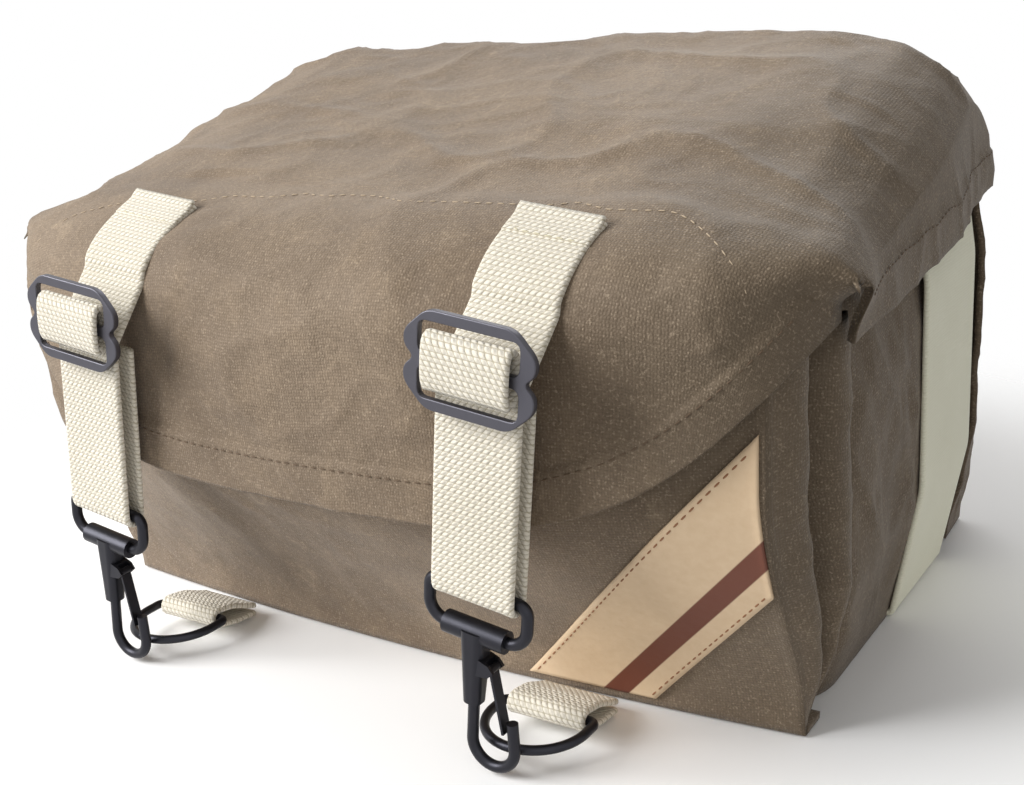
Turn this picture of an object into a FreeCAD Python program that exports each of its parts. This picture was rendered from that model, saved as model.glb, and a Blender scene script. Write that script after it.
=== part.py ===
"""Canvas satchel with a folding lid, two webbing straps, tri-glide buckles and snap hooks.

Millimetres. X runs across the bag (+X is the wearer's left as the bag faces forward), -Y is the front,
+Z is up. The origin is on the ground, midway across, under the main compartment.
"""

import FreeCAD, Part
import math
import os

import Sketcher
from FreeCAD import Placement, Rotation, Vector

# Driving dimensions, written once. Each becomes a named cell of the sheet.
SIZES = {
    # main compartment
    "body_height": 172,
    "base_width": 258,
    "body_width": 276,
    "rim_width": 258,
    "front_face": 72,
    "back_face": 62,
    "body_corner": 20,
    "canvas": 3,
    "board_thick": 3,
    "board_gap": 1,
    # wide webbing round the sides and base
    "carry_width": 50.8,
    "carry_thick": 2,
    "carry_centre": 20.5,
    "carry_top": 150,
    # front pocket
    "pocket_width": 264,
    "pocket_height": 118,
    "pocket_foot": 90,
    "pocket_foot_side": 83,
    "pocket_bulge": 37.5,
    "pocket_bulge_side": 26,
    "pocket_bulge_height": 80,
    # rear pocket
    "rear_width": 256,
    "rear_height": 128,
    "rear_foot": 84,
    "rear_bulge": 11.5,
    "rear_bulge_height": 48,
    "rear_mouth": 68,
    # label on the front pocket
    "label_width": 31,
    "label_length": 150,
    "label_thick": 1.2,
    "label_turn": 48,
    "label_x": 100,
    "label_z": 38.7,
    # lid
    "lid_height": 181.5,
    "lid_crest": 30,
    "lid_back_drop": 14.5,
    "lid_back": 64,
    "lid_front": 88,
    "lid_slope": 0.281,
    "lid_width": 292,
    "hem_front": 114,
    "hem_back": 128,
    "lid_clear": 1.0,
    "fold_gap": 0.4,
    # zipped pocket under the lid
    "inner_width": 224,
    "inner_front": 84,
    "inner_back": 8,
    "inner_thick": 3.3,
    "tape_width": 24,
    "tape_thick": 1.2,
    "slider_long": 9,
    "slider_wide": 8,
    "slider_high": 4,
    "slider_start": 85,
    "pull_long": 18,
    # front flap
    "flap_width": 287,
    "flap_drop": 66,
    "flap_corner": 126,
    "flap_rest": 1.0,
    "flap_side_ease": 0.55,
    # narrow webbing and its path
    "strap_width": 25.4,
    "strap_thick": 1.8,
    "strap_pitch": 142,
    "strap_x": 73,
    "strap_lean": 7.5,
    "strap_stand": 8.0,
    "buckle_height": 116,
    "fold_radius": 2.9,
    "bail_drop": 62.5,
    "back_layer_top": 8,
    "tab_long": 34,
    "touch_gap": 0.1,
    "seat": 0.3,
    # tri-glide buckle
    "buckle_play": 3.6,
    "buckle_tall": 25.5,
    "buckle_thick": 2,
    "buckle_rail": 2.9,
    "buckle_side": 4.3,
    "buckle_bar": 3,
    "buckle_chamfer": 6.5,
    "buckle_pinch": 3.2,
    "slot_corner": 2.4,
    "wrap_tall": 16,
    "wrap_deep": 6.8,
    # bail, snap hook and gate
    "bail_wire": 3.3,
    "fitting_play": 1.8,
    "bail_reach": 12.2,
    "bail_top_bend": 3,
    "bail_low_bend": 5.5,
    "bore_clear": 0.05,
    "barrel_long": 19,
    "barrel_wall": 1.5,
    "sleeve_wide": 7,
    "sleeve_deep": 7.6,
    "sleeve_tip": 5.4,
    "sleeve_long": 21,
    "hook_wire_size": 3.2,
    "hook_drop": 32.3,
    "hook_bend": 6.7,
    "hook_tip": 8,
    "hook_tip_lean": 8,
    "gate_back": 5.6,
    "gate_down": 9,
    "gate_roll": 1.1,
    "gate_wide": 3.6,
    "gate_thick": 0.7,
    "gate_clear": 0.3,
    "cheek": 1.1,
    # ring and its tab
    "ring_wire": 2.8,
    "ring_leg": 6,
    "ring_bend": 2.2,
    "ring_x": 68.1,
    "ring_height": 6.9,
    "tab_clear": 0.25,
}

DOC = FreeCAD.newDocument("Satchel")
SHEET = DOC.addObject("Spreadsheet::Sheet", "Sizes")
for row, (alias, value) in enumerate(SIZES.items(), start=1):
    SHEET.set(f"A{row}", alias.replace("_", " "))
    SHEET.set(f"B{row}", str(value))
    SHEET.setAlias(f"B{row}", alias)
DOC.recompute()

# sizes that follow from others
FITTING_INNER = "(Sizes.strap_width + Sizes.fitting_play)"
BUCKLE_WIDTH = "(Sizes.strap_width + Sizes.buckle_play + 2 * Sizes.buckle_side)"
FLAP_INNER = "(Sizes.pocket_foot + Sizes.pocket_bulge + Sizes.flap_rest)"
FLAP_BULGE = f"({FLAP_INNER} - Sizes.lid_front - Sizes.fold_gap)"
STRAP_FRONT = f"({FLAP_INNER} + Sizes.canvas + Sizes.strap_stand)"
RING_REACH = f"(Sizes.ring_leg + ({FITTING_INNER} + Sizes.ring_wire) / 2 + Sizes.ring_wire / 2)"
RING_BAR = f"({STRAP_FRONT} - Sizes.fold_radius - Sizes.gate_wide / 2 - Sizes.seat - {RING_REACH})"

SUBPARTS = []
SIDES = {"right": 0, "left": -1}


def size(alias):
    """The value of one named cell."""
    return float(SHEET.get(alias))


def value(formula):
    """The number that a formula over the sheet's cells gives."""
    return float(SHEET.evalExpression(formula))


def keep(item, label, placement=None):
    """Name a finished sub-part and put it in its place."""
    item.Label = label
    if placement is not None:
        item.Placement = placement
    SUBPARTS.append(item)
    return item


# ---------------------------------------------------------------------------
# Sketch and feature helpers
# ---------------------------------------------------------------------------


def new_body(label):
    return DOC.addObject("PartDesign::Body", f"{label}_body")


def new_sketch(body, name, role, offset=None):
    """A sketch on one of the body's own origin planes, moved along its normal by a formula."""
    sketch = body.newObject("Sketcher::SketchObject", name)
    plane = next(item for item in body.Origin.OriginFeatures if item.Role == role)
    sketch.AttachmentSupport = (plane, [""])
    sketch.MapMode = "FlatFace"
    if offset is not None:
        sketch.setExpression("AttachmentOffset.Base.z", offset)
    return sketch


def bind(sketch, kind, *args):
    """Add a constraint whose value, the last argument, is a formula."""
    formula = args[-1]
    number = value(formula)
    if kind == "Angle":
        number = math.radians(number)
        formula = f"({formula}) * 1 deg"
    index = sketch.addConstraint(Sketcher.Constraint(kind, *args[:-1], number))
    sketch.setExpression(f"Constraints[{index}]", formula)


def place_point(sketch, line, end, x_formula, y_formula):
    bind(sketch, "DistanceX", -1, 1, line, end, x_formula)
    bind(sketch, "DistanceY", -1, 1, line, end, y_formula)


def outline(sketch, corners):
    """A closed outline of straight lines whose corners are pairs of formulas."""
    points = [Vector(value(x), value(y), 0) for x, y in corners]
    first = sketch.GeometryCount
    count = len(points)
    for index, point in enumerate(points):
        sketch.addGeometry(Part.LineSegment(point, points[(index + 1) % count]), False)
    for index in range(count):
        following = first + (index + 1) % count
        sketch.addConstraint(Sketcher.Constraint("Coincident", first + index, 2, following, 1))
    for index, (x_formula, y_formula) in enumerate(corners):
        place_point(sketch, first + index, 1, x_formula, y_formula)


def arc(x, y, radius, start, end):
    circle = Part.Circle(Vector(x, y, 0), Vector(0, 0, 1), radius)
    return Part.ArcOfCircle(circle, math.radians(start), math.radians(end))


def rounded_box(sketch, half_width, low, high, top_radius, low_radius=None):
    """A closed rectangle about x = 0 with rounded corners. All arguments are formulas."""
    low_radius = low_radius or top_radius
    w, bottom, top = value(half_width), value(low), value(high)
    r, q = value(top_radius), value(low_radius)
    n = sketch.GeometryCount
    sketch.addGeometry([
        Part.LineSegment(Vector(-w + r, top, 0), Vector(w - r, top, 0)),
        Part.LineSegment(Vector(w, top - r, 0), Vector(w, bottom + q, 0)),
        Part.LineSegment(Vector(w - q, bottom, 0), Vector(-w + q, bottom, 0)),
        Part.LineSegment(Vector(-w, bottom + q, 0), Vector(-w, top - r, 0)),
        arc(w - r, top - r, r, 0, 90),
        arc(w - q, bottom + q, q, 270, 360),
        arc(-w + q, bottom + q, q, 180, 270),
        arc(-w + r, top - r, r, 90, 180),
    ], False)
    joints = [(0, 2, 4, 2), (4, 1, 1, 1), (1, 2, 5, 2), (5, 1, 2, 1),
              (2, 2, 6, 2), (6, 1, 3, 1), (3, 2, 7, 2), (7, 1, 0, 1)]
    for a, a_end, b, b_end in joints:
        sketch.addConstraint(Sketcher.Constraint("Tangent", n + a, a_end, n + b, b_end))
    for line, kind in ((0, "Horizontal"), (1, "Vertical"), (2, "Horizontal"), (3, "Vertical")):
        sketch.addConstraint(Sketcher.Constraint(kind, n + line))
    bind(sketch, "DistanceY", -1, 1, n, 1, high)
    bind(sketch, "DistanceY", -1, 1, n + 2, 1, low)
    bind(sketch, "DistanceX", -1, 1, n + 1, 1, half_width)
    bind(sketch, "DistanceX", -1, 1, n + 3, 1, f"-({half_width})")
    for corner, radius in ((4, top_radius), (7, top_radius), (5, low_radius), (6, low_radius)):
        bind(sketch, "Radius", n + corner, radius)


def circle_at(sketch, x_formula, y_formula, radius):
    n = sketch.GeometryCount
    centre = Vector(value(x_formula), value(y_formula), 0)
    sketch.addGeometry(Part.Circle(centre, Vector(0, 0, 1), value(radius)), False)
    bind(sketch, "Radius", n, radius)
    place_point(sketch, n, 3, x_formula, y_formula)


def pad(body, sketch, length, midplane=True, reverse=False):
    feature = body.newObject("PartDesign::Pad", f"{sketch.Name}_pad")
    feature.Profile = sketch
    feature.setExpression("Length", length)
    feature.Midplane = midplane
    feature.Reversed = reverse
    return feature


def pocket(body, sketch, length, midplane=True, reverse=False):
    feature = body.newObject("PartDesign::Pocket", f"{sketch.Name}_cut")
    feature.Profile = sketch
    feature.setExpression("Length", length)
    feature.Midplane = midplane
    feature.Reversed = reverse
    return feature


def pipe(body, profile, path):
    feature = body.newObject("PartDesign::AdditivePipe", f"{path.Name}_pipe")
    feature.Profile = profile
    feature.Spine = (path, [])
    return feature


# ---------------------------------------------------------------------------
# Soft shells: lofts through curved sections
# ---------------------------------------------------------------------------


def loft(wires):
    return Part.makeLoft(wires, True, True)


def closed_wire(curved, straight=()):
    """A smooth curve through some points, closed by straight lines through others."""
    curve = Part.BSplineCurve()
    curve.interpolate(curved)
    corners = [curved[-1], *straight, curved[0]]
    lines = [Part.LineSegment(a, b).toShape() for a, b in zip(corners, corners[1:])]
    return Part.Wire([curve.toShape(), *lines])


def soft_part(label, shape):
    """A sewn piece that has a free-form shape."""
    if len(shape.Solids) == 1:
        shape = shape.Solids[0]
    item = DOC.addObject("Part::Feature", f"{label}_shell")
    item.Shape = shape
    return keep(item, label)


def block(x0, x1, y0, y1, z0, z1):
    return Part.makeBox(x1 - x0, y1 - y0, z1 - z0, Vector(x0, y0, z0))


def rounded_plan(half_width, front, back, corner, z):
    """A rounded rectangle in plan at height z."""
    w, r = half_width, corner
    points = [(-w + r, front), (w - r, front), (w, front + r), (w, back - r),
              (w - r, back), (-w + r, back), (-w, back - r), (-w, front + r)]
    p = [Vector(x, y, z) for x, y in points]
    slant = r * (1 - math.sqrt(0.5))
    mid = [Vector(w - slant, front + slant, z), Vector(w - slant, back - slant, z),
           Vector(-w + slant, back - slant, z), Vector(-w + slant, front + slant, z)]
    edges = []
    for index in range(4):
        start, turn, leave = p[2 * index], p[2 * index + 1], p[(2 * index + 2) % 8]
        edges.append(Part.LineSegment(start, turn).toShape())
        edges.append(Part.Arc(turn, mid[index], leave).toShape())
    return Part.Wire(edges)


def compartment(grow=0.0, floor=0.0):
    """The main compartment's outer form, grown outwards by a thickness."""
    stations = [(0, "base_width"), (45, "body_width"), (110, "body_width"), (size("body_height"), "rim_width")]
    wires = []
    for z, width in stations:
        half = size(width) / 2 + grow
        front = -size("front_face") - grow
        back = size("back_face") + grow
        wires.append(rounded_plan(half, front, back, size("body_corner") + grow, max(z, floor)))
    return loft(wires)


def lid_crown(y):
    """Height of the lid's top along the middle of the bag."""
    crest, back = size("lid_crest"), size("lid_back")
    if y <= crest:
        return size("lid_height") - size("lid_slope") * (crest - y)
    return size("lid_height") - size("lid_back_drop") * ((y - crest) / (back - crest)) ** 2.4


def lid_hem(y):
    share = (y + size("lid_front")) / (size("lid_back") + size("lid_front"))
    return size("hem_front") + (size("hem_back") - size("hem_front")) * min(max(share, 0), 1)


# Fall of the lid from its crown, at shares of its half width.
SHOULDER = [(0.0, 0.0), (0.45, 0.2), (0.69, 0.9), (0.86, 4.8), (0.945, 12.4), (0.983, 21.0)]


def lid_section(y, inset=0.0, sink=0.0, skirt=0.0):
    """A section across the lid: a curve over the top, closed below the hems."""
    half, crown = size("lid_width") / 2, lid_crown(y) - sink
    side = [(half * share, crown - fall) for share, fall in SHOULDER]
    side.append((half, lid_hem(y) - sink - skirt))
    points = []
    for index, (x, z) in enumerate(side):
        before, after = side[max(index - 1, 0)], side[min(index + 1, len(side) - 1)]
        along = Vector(after[0] - before[0], 0, after[1] - before[1]).normalize()
        normal = Vector(0, 0, 1) if index == 0 else Vector(-along.z, 0, along.x)
        points.append(Vector(x, y, z) - normal * inset)
    mirrored = [Vector(-p.x, p.y, p.z) for p in reversed(points[1:])]
    return closed_wire(mirrored + points)


def lid_block(inset=0.0, sink=0.0, skirt=0.0, over=0.0):
    """The solid under the lid's skin. Over runs it on past both ends."""
    front, back, crest = -size("lid_front"), size("lid_back"), size("lid_crest")
    stations = [front, -50, 0, crest, (crest + back) / 2, back - 4, back]
    wires = [lid_section(y, inset, sink, skirt) for y in stations]
    if over:
        for end, shift in ((0, -over), (-1, over)):
            copy = wires[end].copy()
            copy.translate(Vector(0, shift, 0))
            wires.insert(0 if end == 0 else len(wires), copy)
    return loft(wires)


def lid_top(x, y=None):
    """Height of the lid's outer skin, near the fold unless y is given."""
    y = -size("lid_front") if y is None else y
    share = abs(x) / (size("lid_width") / 2)
    crown = lid_crown(y)
    for (s0, f0), (s1, f1) in zip(SHOULDER, SHOULDER[1:]):
        if share <= s1:
            return crown - f0 - (f1 - f0) * (share - s0) / (s1 - s0)
    return crown - SHOULDER[-1][1]


def flap_hem(x):
    """Height of the flap's lower edge: a tongue that rises to a point at each side."""
    share = abs(x) / (size("lid_width") / 2 + 1)
    return size("flap_drop") + (size("flap_corner") - size("flap_drop")) * share ** 4


def flap_point(x, share, inset=0.0):
    """A point of the flap's outer skin, share 0 at the fold and 1 at the hem."""
    top, hem = lid_top(x), flap_hem(x)
    z = top + (hem - top) * share
    half = size("flap_width") / 2
    bulge = value(FLAP_BULGE) * (1 - size("flap_side_ease") * abs(x / half) ** 3)
    swell = 1 - max(1 - share / 0.55, 0) ** 4
    fold = size("lid_front") + size("fold_gap") + size("canvas")
    return Vector(x, -fold - bulge * swell + inset, z)


def flap_section(x, inset_front, inset_back):
    shares = (0, 0.08, 0.18, 0.3, 0.45, 0.6, 0.8, 1)
    front = [flap_point(x, share, inset_front) for share in shares]
    back = [flap_point(x, share, inset_back) for share in reversed(shares)]
    under = Part.BSplineCurve()
    under.interpolate(back)
    over = Part.BSplineCurve()
    over.interpolate(front)
    ends = [Part.LineSegment(front[-1], back[0]), Part.LineSegment(back[-1], front[0])]
    return Part.Wire([over.toShape(), ends[0].toShape(), under.toShape(), ends[1].toShape()])


def flap_layer(inset_front, inset_back, reach=None):
    """A layer that follows the flap's skin between two depths, both measured inwards."""
    half = size("flap_width") / 2
    shares = (-1, -0.9, -0.72, -0.4, 0, 0.4, 0.72, 0.9, 1) if reach is None else (0, 0.3, 0.5, 0.7, 0.9)
    if reach is not None:
        shares = [reach * (0.2 + share) for share in shares]
    return loft([flap_section(half * share, inset_front, inset_back) for share in shares])


def pocket_swell(z):
    """How far out the front pocket stands at a height, from 0 at its foot to 1 at its fullest."""
    full = size("pocket_bulge_height")
    if z < full:
        share = z / full
        return share * share * (3 - 2 * share)
    return 1 - 0.08 * ((z - full) / (size("pocket_height") - full)) ** 2


def front_pocket_section(x, inset=0.0, top=None):
    side = (x / (size("pocket_width") / 2)) ** 2
    foot = size("pocket_foot") + (size("pocket_foot_side") - size("pocket_foot")) * side
    bulge = size("pocket_bulge") + (size("pocket_bulge_side") - size("pocket_bulge")) * side
    top = size("pocket_height") if top is None else top
    bottom = inset
    heights = [bottom + (top - bottom) * k / 6 for k in range(7)]
    curve = [Vector(x, -foot - bulge * pocket_swell(z) + inset, z) for z in heights]
    back = -size("front_face") + size("body_corner")
    return closed_wire(curve, (Vector(x, back, top), Vector(x, back, bottom)))


def front_pocket_block(inset=0.0, top=None):
    half = size("pocket_width") / 2 - max(inset, 0)
    return loft([front_pocket_section(half * share, inset, top) for share in (-1, -0.65, 0, 0.65, 1)])


def rear_pocket_section(x, inset=0.0, top=None):
    top = size("rear_height") if top is None else top
    full, foot, mouth = size("rear_bulge_height"), size("rear_foot"), size("rear_mouth")
    stations = [(inset, foot), (full * 0.5, foot + size("rear_bulge") * 0.8), (full, foot + size("rear_bulge")),
                ((full + top) / 2, (foot + size("rear_bulge") + mouth) / 2 + 3), (top, mouth)]
    curve = [Vector(x, y - inset, z) for z, y in stations]
    front = size("back_face") - size("body_corner")
    return closed_wire(curve, (Vector(x, front, top), Vector(x, front, inset)))


def rear_pocket_block(inset=0.0, top=None):
    half = size("rear_width") / 2 - inset
    return loft([rear_pocket_section(half * share, inset, top) for share in (-1, 0, 1)])


# ---------------------------------------------------------------------------
# The bag
# ---------------------------------------------------------------------------


def make_compartment():
    """Open-topped canvas compartment, cut to the lid's underside, with the webbing let into its base."""
    canvas, high = size("canvas"), size("body_height")
    half, front, back = size("base_width") / 2, size("front_face"), size("back_face")
    under_lid = lid_block(inset=canvas, sink=size("lid_clear"), skirt=60, over=10)
    under_lid = under_lid.fuse(block(-160, 160, -100, 100, -1, 90)).removeSplitter()
    outer = compartment()
    inner = compartment(grow=-canvas).common(block(-half * 2, half * 2, -front, back, canvas, high))
    reach = size("carry_width") / 2 + size("seat")
    slot = block(-half * 1.2, half * 1.2, size("carry_centre") - reach, size("carry_centre") + reach,
                 -1, size("carry_thick") + size("seat") / 3)
    sewn = size("inner_thick") + size("touch_gap") + size("lid_clear")
    room = lid_block(inset=canvas, sink=-5, skirt=60, over=10).cut(lid_block(inset=canvas, sink=sewn, skirt=60, over=10))
    reach = size("inner_width") / 2 + size("seat")
    room = room.common(block(-reach, reach, -size("inner_front") - 1, size("inner_back") + size("tape_width") + 1, 90, 220))
    soft_part("main_body", outer.common(under_lid).cut(inner).cut(slot).cut(room))


def make_base_board():
    """Stiffener that lies on the floor of the compartment."""
    body = new_body("base_board")
    sketch = new_sketch(body, "board_outline", "XY_Plane", "Sizes.canvas + Sizes.touch_gap")
    edge = "(Sizes.canvas + Sizes.board_gap)"
    rounded_box(sketch, f"Sizes.base_width / 2 - {edge}", f"-Sizes.front_face + {edge}",
                f"Sizes.back_face - {edge}", f"Sizes.body_corner - {edge}")
    pad(body, sketch, "Sizes.board_thick", midplane=False)
    keep(body, "base_board")


def make_front_pocket():
    canvas = size("canvas")
    shell = front_pocket_block().cut(front_pocket_block(canvas, size("pocket_height") + 5))
    soft_part("front_pocket", shell.cut(compartment(grow=size("touch_gap"))))


def make_rear_pocket():
    canvas = size("canvas")
    shell = rear_pocket_block().cut(rear_pocket_block(canvas, size("rear_height") + 5))
    soft_part("rear_pocket", shell.cut(compartment(grow=size("touch_gap"))))


def make_label():
    """Patch sewn slantwise over the pocket's lower corner."""
    thick, gap = size("label_thick"), size("touch_gap")
    patch = block(-size("label_length") / 2, size("label_length") / 2, -200, 0,
                  -size("label_width") / 2, size("label_width") / 2)
    patch.Placement = Placement(Vector(size("label_x"), 0, size("label_z")),
                                Rotation(Vector(0, -1, 0), size("label_turn")))
    edge = size("pocket_width") / 2 - 1
    window = block(0, edge, -200, -size("pocket_foot_side") + 1, size("canvas"), size("pocket_height"))
    form = front_pocket_block()
    skin = form.translated(Vector(0, -thick - gap, 0)).cut(form.translated(Vector(0, -gap, 0)))
    tab = size("strap_width") / 2 + size("seat")
    way_out = block(size("ring_x") - tab, size("ring_x") + tab, -200, 0, 0, size("ring_height") + 1)
    soft_part("label_patch", skin.common(patch).common(window).cut(way_out))


def make_body_webbing():
    """One wide webbing that runs up one side from under the other, flush with the base."""
    reach, top = size("carry_width") / 2, size("carry_top")
    y0, y1 = size("carry_centre") - reach, size("carry_centre") + reach
    thick, half, gap = size("carry_thick"), size("base_width") / 2, size("touch_gap")
    sides = compartment(grow=thick + gap).cut(compartment(grow=gap)).common(block(-200, 200, y0, y1, 0, top))
    base = block(-half - gap, half + gap, y0, y1, 0, thick)
    soft_part("body_webbing", sides.fuse(base).removeSplitter())


# ---------------------------------------------------------------------------
# The lid, its zipped pocket and the flap
# ---------------------------------------------------------------------------


def make_lid():
    skin = lid_block().cut(lid_block(inset=size("canvas"), skirt=30, over=10))
    soft_part("lid_panel", skin)


def make_lid_pocket():
    """Zipped pocket sewn under the lid: a panel, a zip tape behind it and a slider."""
    canvas, half = size("canvas"), size("inner_width") / 2
    front, back = -size("inner_front"), size("inner_back")

    def under_lid(near, far):
        form = lid_block(inset=canvas, skirt=30, over=10)
        return form.translated(Vector(0, 0, -near)).cut(form.translated(Vector(0, 0, -far)))

    window = block(-half, half, front, back, size("hem_back"), 200)
    soft_part("lid_pocket", under_lid(0.1, 0.1 + size("inner_thick")).common(window))
    window = block(-half, half, back + size("seat"), back + size("tape_width"), size("hem_back"), 200)
    soft_part("zip_tape", under_lid(0.1, 0.1 + size("tape_thick")).common(window))


def make_zip_slider():
    """Slider body with its pull hanging flat along the tape."""
    body = new_body("zip_slider")
    top = new_sketch(body, "slider_plan", "XY_Plane")
    outline(top, [("-Sizes.slider_long / 2", "-Sizes.slider_wide * 0.3"),
                  ("Sizes.slider_long / 2", "-Sizes.slider_wide / 2"),
                  ("Sizes.slider_long / 2", "Sizes.slider_wide / 2"),
                  ("-Sizes.slider_long / 2", "Sizes.slider_wide * 0.3")])
    pad(body, top, "Sizes.slider_high", midplane=False, reverse=True)
    pull = new_sketch(body, "slider_pull", "XY_Plane", "-Sizes.slider_high")
    outline(pull, [("0", "-Sizes.slider_wide / 4"), ("Sizes.pull_long", "-Sizes.slider_wide / 3"),
                   ("Sizes.pull_long", "Sizes.slider_wide / 3"), ("0", "Sizes.slider_wide / 4")])
    pad(body, pull, "1.2", midplane=False)
    y = size("inner_back") + size("tape_width") / 2
    under = lid_crown(y) - size("canvas") - size("tape_thick") - 1.3
    slope = Rotation(Vector(1, 0, 0), math.degrees(math.atan(size("lid_slope"))))
    keep(body, "zip_slider", Placement(Vector(-size("slider_start"), y, under), slope))


def make_flap():
    soft_part("flap_panel", flap_layer(0, size("canvas")))


def strap_frame(side):
    """Where a strap hangs: its origin is on the front layer behind the buckle, +Z up the webbing."""
    x = size("strap_x") + SIDES[side] * size("strap_pitch")
    return Placement(Vector(x, -value(STRAP_FRONT), size("buckle_height")),
                     Rotation(Vector(0, 1, 0), size("strap_lean")))


def flap_skin(x, z):
    """How far forward the flap's outer skin lies at a point of the front view."""
    return flap_point(x, (z - lid_top(x)) / (flap_hem(x) - lid_top(x))).y


def strap_pivot(side):
    """Middle of the line where the sewn tab ends and the strap swings, clear of the flap all across."""
    frame, half = strap_frame(side), size("strap_width") / 2
    x = frame.multVec(Vector(0, 0, 9)).x
    z = flap_point(x, 0.245).z
    across = frame.Rotation.multVec(Vector(1, 0, 0))
    radius = size("strap_thick") / 2
    rows = [Vector(x, 0, z + drop) + across * (half * k / 4) for k in range(-4, 5) for drop in (-radius, 0, radius)]
    front = min(flap_skin(point.x, point.z) for point in rows)
    return Vector(x, front - size("seat") - radius, z)


def make_strap_tab(side):
    """Folded end of the narrow webbing, sewn on the flap and following its curve."""
    thick, half, gap = 2 * size("strap_thick"), size("strap_width") / 2, size("touch_gap")
    frame, pivot = strap_frame(side), strap_pivot(side)
    low = frame.inverse().multVec(pivot).z + size("strap_thick") / 2 + 2 * size("seat")
    strip = block(-half, half, -80, 80, low, low + size("tab_long"))
    strip.Placement = frame
    form = flap_layer(0, 60, 0.8 * (1 + 2 * SIDES[side]))
    layer = form.translated(Vector(0, -thick - gap, 0)).cut(form.translated(Vector(0, -gap, 0)))
    top = strip.common(block(-200, 200, -200, -size("lid_front") - size("fold_gap") - 12, 0, 200))
    soft_part(f"strap_tab_{side}", layer.common(top))


# ---------------------------------------------------------------------------
# Straps, buckles, hooks and rings
# ---------------------------------------------------------------------------


def slab(name, width, depth, height, y_formula, z_formula):
    """A flat run of webbing bound to the sheet, centred on x = 0."""
    item = DOC.addObject("Part::Box", name)
    item.setExpression("Length", width)
    item.setExpression("Width", depth)
    item.setExpression("Height", height)
    item.setExpression("Placement.Base.x", f"-({width}) / 2")
    item.setExpression("Placement.Base.y", y_formula)
    item.setExpression("Placement.Base.z", z_formula)
    return item


def half_tube(name, outer, inner, length, y_formula, z_formula):
    """The fold of the webbing under a bar, open upwards."""
    shells = []
    for part, radius in (("outer", outer), ("inner", inner)):
        item = DOC.addObject("Part::Cylinder", f"{name}_{part}")
        item.setExpression("Radius", radius)
        item.setExpression("Height", length)
        item.Angle = 180
        item.setExpression("Placement.Base.x", f"-({length}) / 2")
        item.setExpression("Placement.Base.y", y_formula)
        item.setExpression("Placement.Base.z", z_formula)
        item.Placement.Rotation = Rotation(Vector(0, 1, 0), Vector(0, 0, -1), Vector(1, 0, 0), "ZXY")
        shells.append(item)
    cut = DOC.addObject("Part::Cut", name)
    cut.Base, cut.Tool = shells
    return cut


def make_strap(side):
    """Strap loop: a front layer, a fold under the bail's top bar and a back layer."""
    frame = strap_frame(side)
    pivot = frame.inverse().multVec(strap_pivot(side))
    thick, wide = "Sizes.strap_thick", "Sizes.strap_width"
    name = f"strap_{side}"
    knee = -6.0
    front = slab(f"{name}_front", wide, thick, f"Sizes.bail_drop + {knee}", f"-{thick} / 2", "-Sizes.bail_drop")
    back = slab(f"{name}_back", wide, thick, "Sizes.bail_drop - Sizes.back_layer_top",
                f"2 * Sizes.fold_radius - {thick} / 2", "-Sizes.bail_drop")
    fold = half_tube(f"{name}_fold", f"Sizes.fold_radius + {thick} / 2", f"Sizes.fold_radius - {thick} / 2",
                     wide, "Sizes.fold_radius", "-Sizes.bail_drop")
    half, r = size("strap_width") / 2, size("strap_thick") / 2
    run = Vector(0, pivot.y, pivot.z - knee)
    across = Vector(0, run.z, -run.y).normalize() * r
    foot, head = Vector(-half, 0, knee), Vector(-half, pivot.y, pivot.z)
    face = Part.makePolygon([foot - across, foot + across, head + across, head - across, foot - across])
    lead = DOC.addObject("Part::Feature", f"{name}_lead")
    lead.Shape = Part.Face(face).extrude(Vector(2 * half, 0, 0))
    ends = []
    for end, centre in (("knee", foot), ("pivot", head)):
        roll = DOC.addObject("Part::Cylinder", f"{name}_{end}")
        roll.setExpression("Radius", f"{thick} / 2")
        roll.setExpression("Height", wide)
        roll.Placement = Placement(centre, Rotation(Vector(0, 1, 0), 90))
        ends.append(roll)
    strap = DOC.addObject("Part::MultiFuse", name)
    strap.Shapes = [front, back, fold, lead, *ends]
    keep(strap, f"strap_loop_{side}", frame)


def buckle_shift():
    """How far in front of the strap the buckle's plane stands."""
    return -(size("strap_thick") / 2 + size("seat") + size("wrap_deep") / 2)


def make_buckle(side):
    """Flat tri-glide: chamfered corners, a pinched waist at the centre bar and two slots."""
    body = new_body(f"buckle_{side}")
    rim = new_sketch(body, f"buckle_rim_{side}", "XZ_Plane")
    w, t = f"{BUCKLE_WIDTH} / 2", "Sizes.buckle_tall / 2"
    c, p = "Sizes.buckle_chamfer", "Sizes.buckle_pinch"
    quarter = [(f"{w} - {c}", t), (w, f"{t} - {c}"), (w, f"{p} * 0.9"), (f"{w} - {p}", "0")]
    right = quarter + [(x, f"-({z})") for x, z in reversed(quarter[:-1])]
    left = [(f"-({x})", z) for x, z in reversed(right)]
    outline(rim, right + left)
    pad(body, rim, "Sizes.buckle_thick")
    slots = new_sketch(body, f"buckle_slots_{side}", "XZ_Plane")
    inner = f"{BUCKLE_WIDTH} / 2 - Sizes.buckle_side"
    rounded_box(slots, inner, "Sizes.buckle_bar / 2", f"{t} - Sizes.buckle_rail", "Sizes.slot_corner")
    rounded_box(slots, inner, f"-({t} - Sizes.buckle_rail)", "-Sizes.buckle_bar / 2", "Sizes.slot_corner")
    pocket(body, slots, "Sizes.buckle_thick * 2")
    keep(body, f"buckle_{side}", strap_frame(side) * Placement(Vector(0, buckle_shift(), 0), Rotation()))


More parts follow.
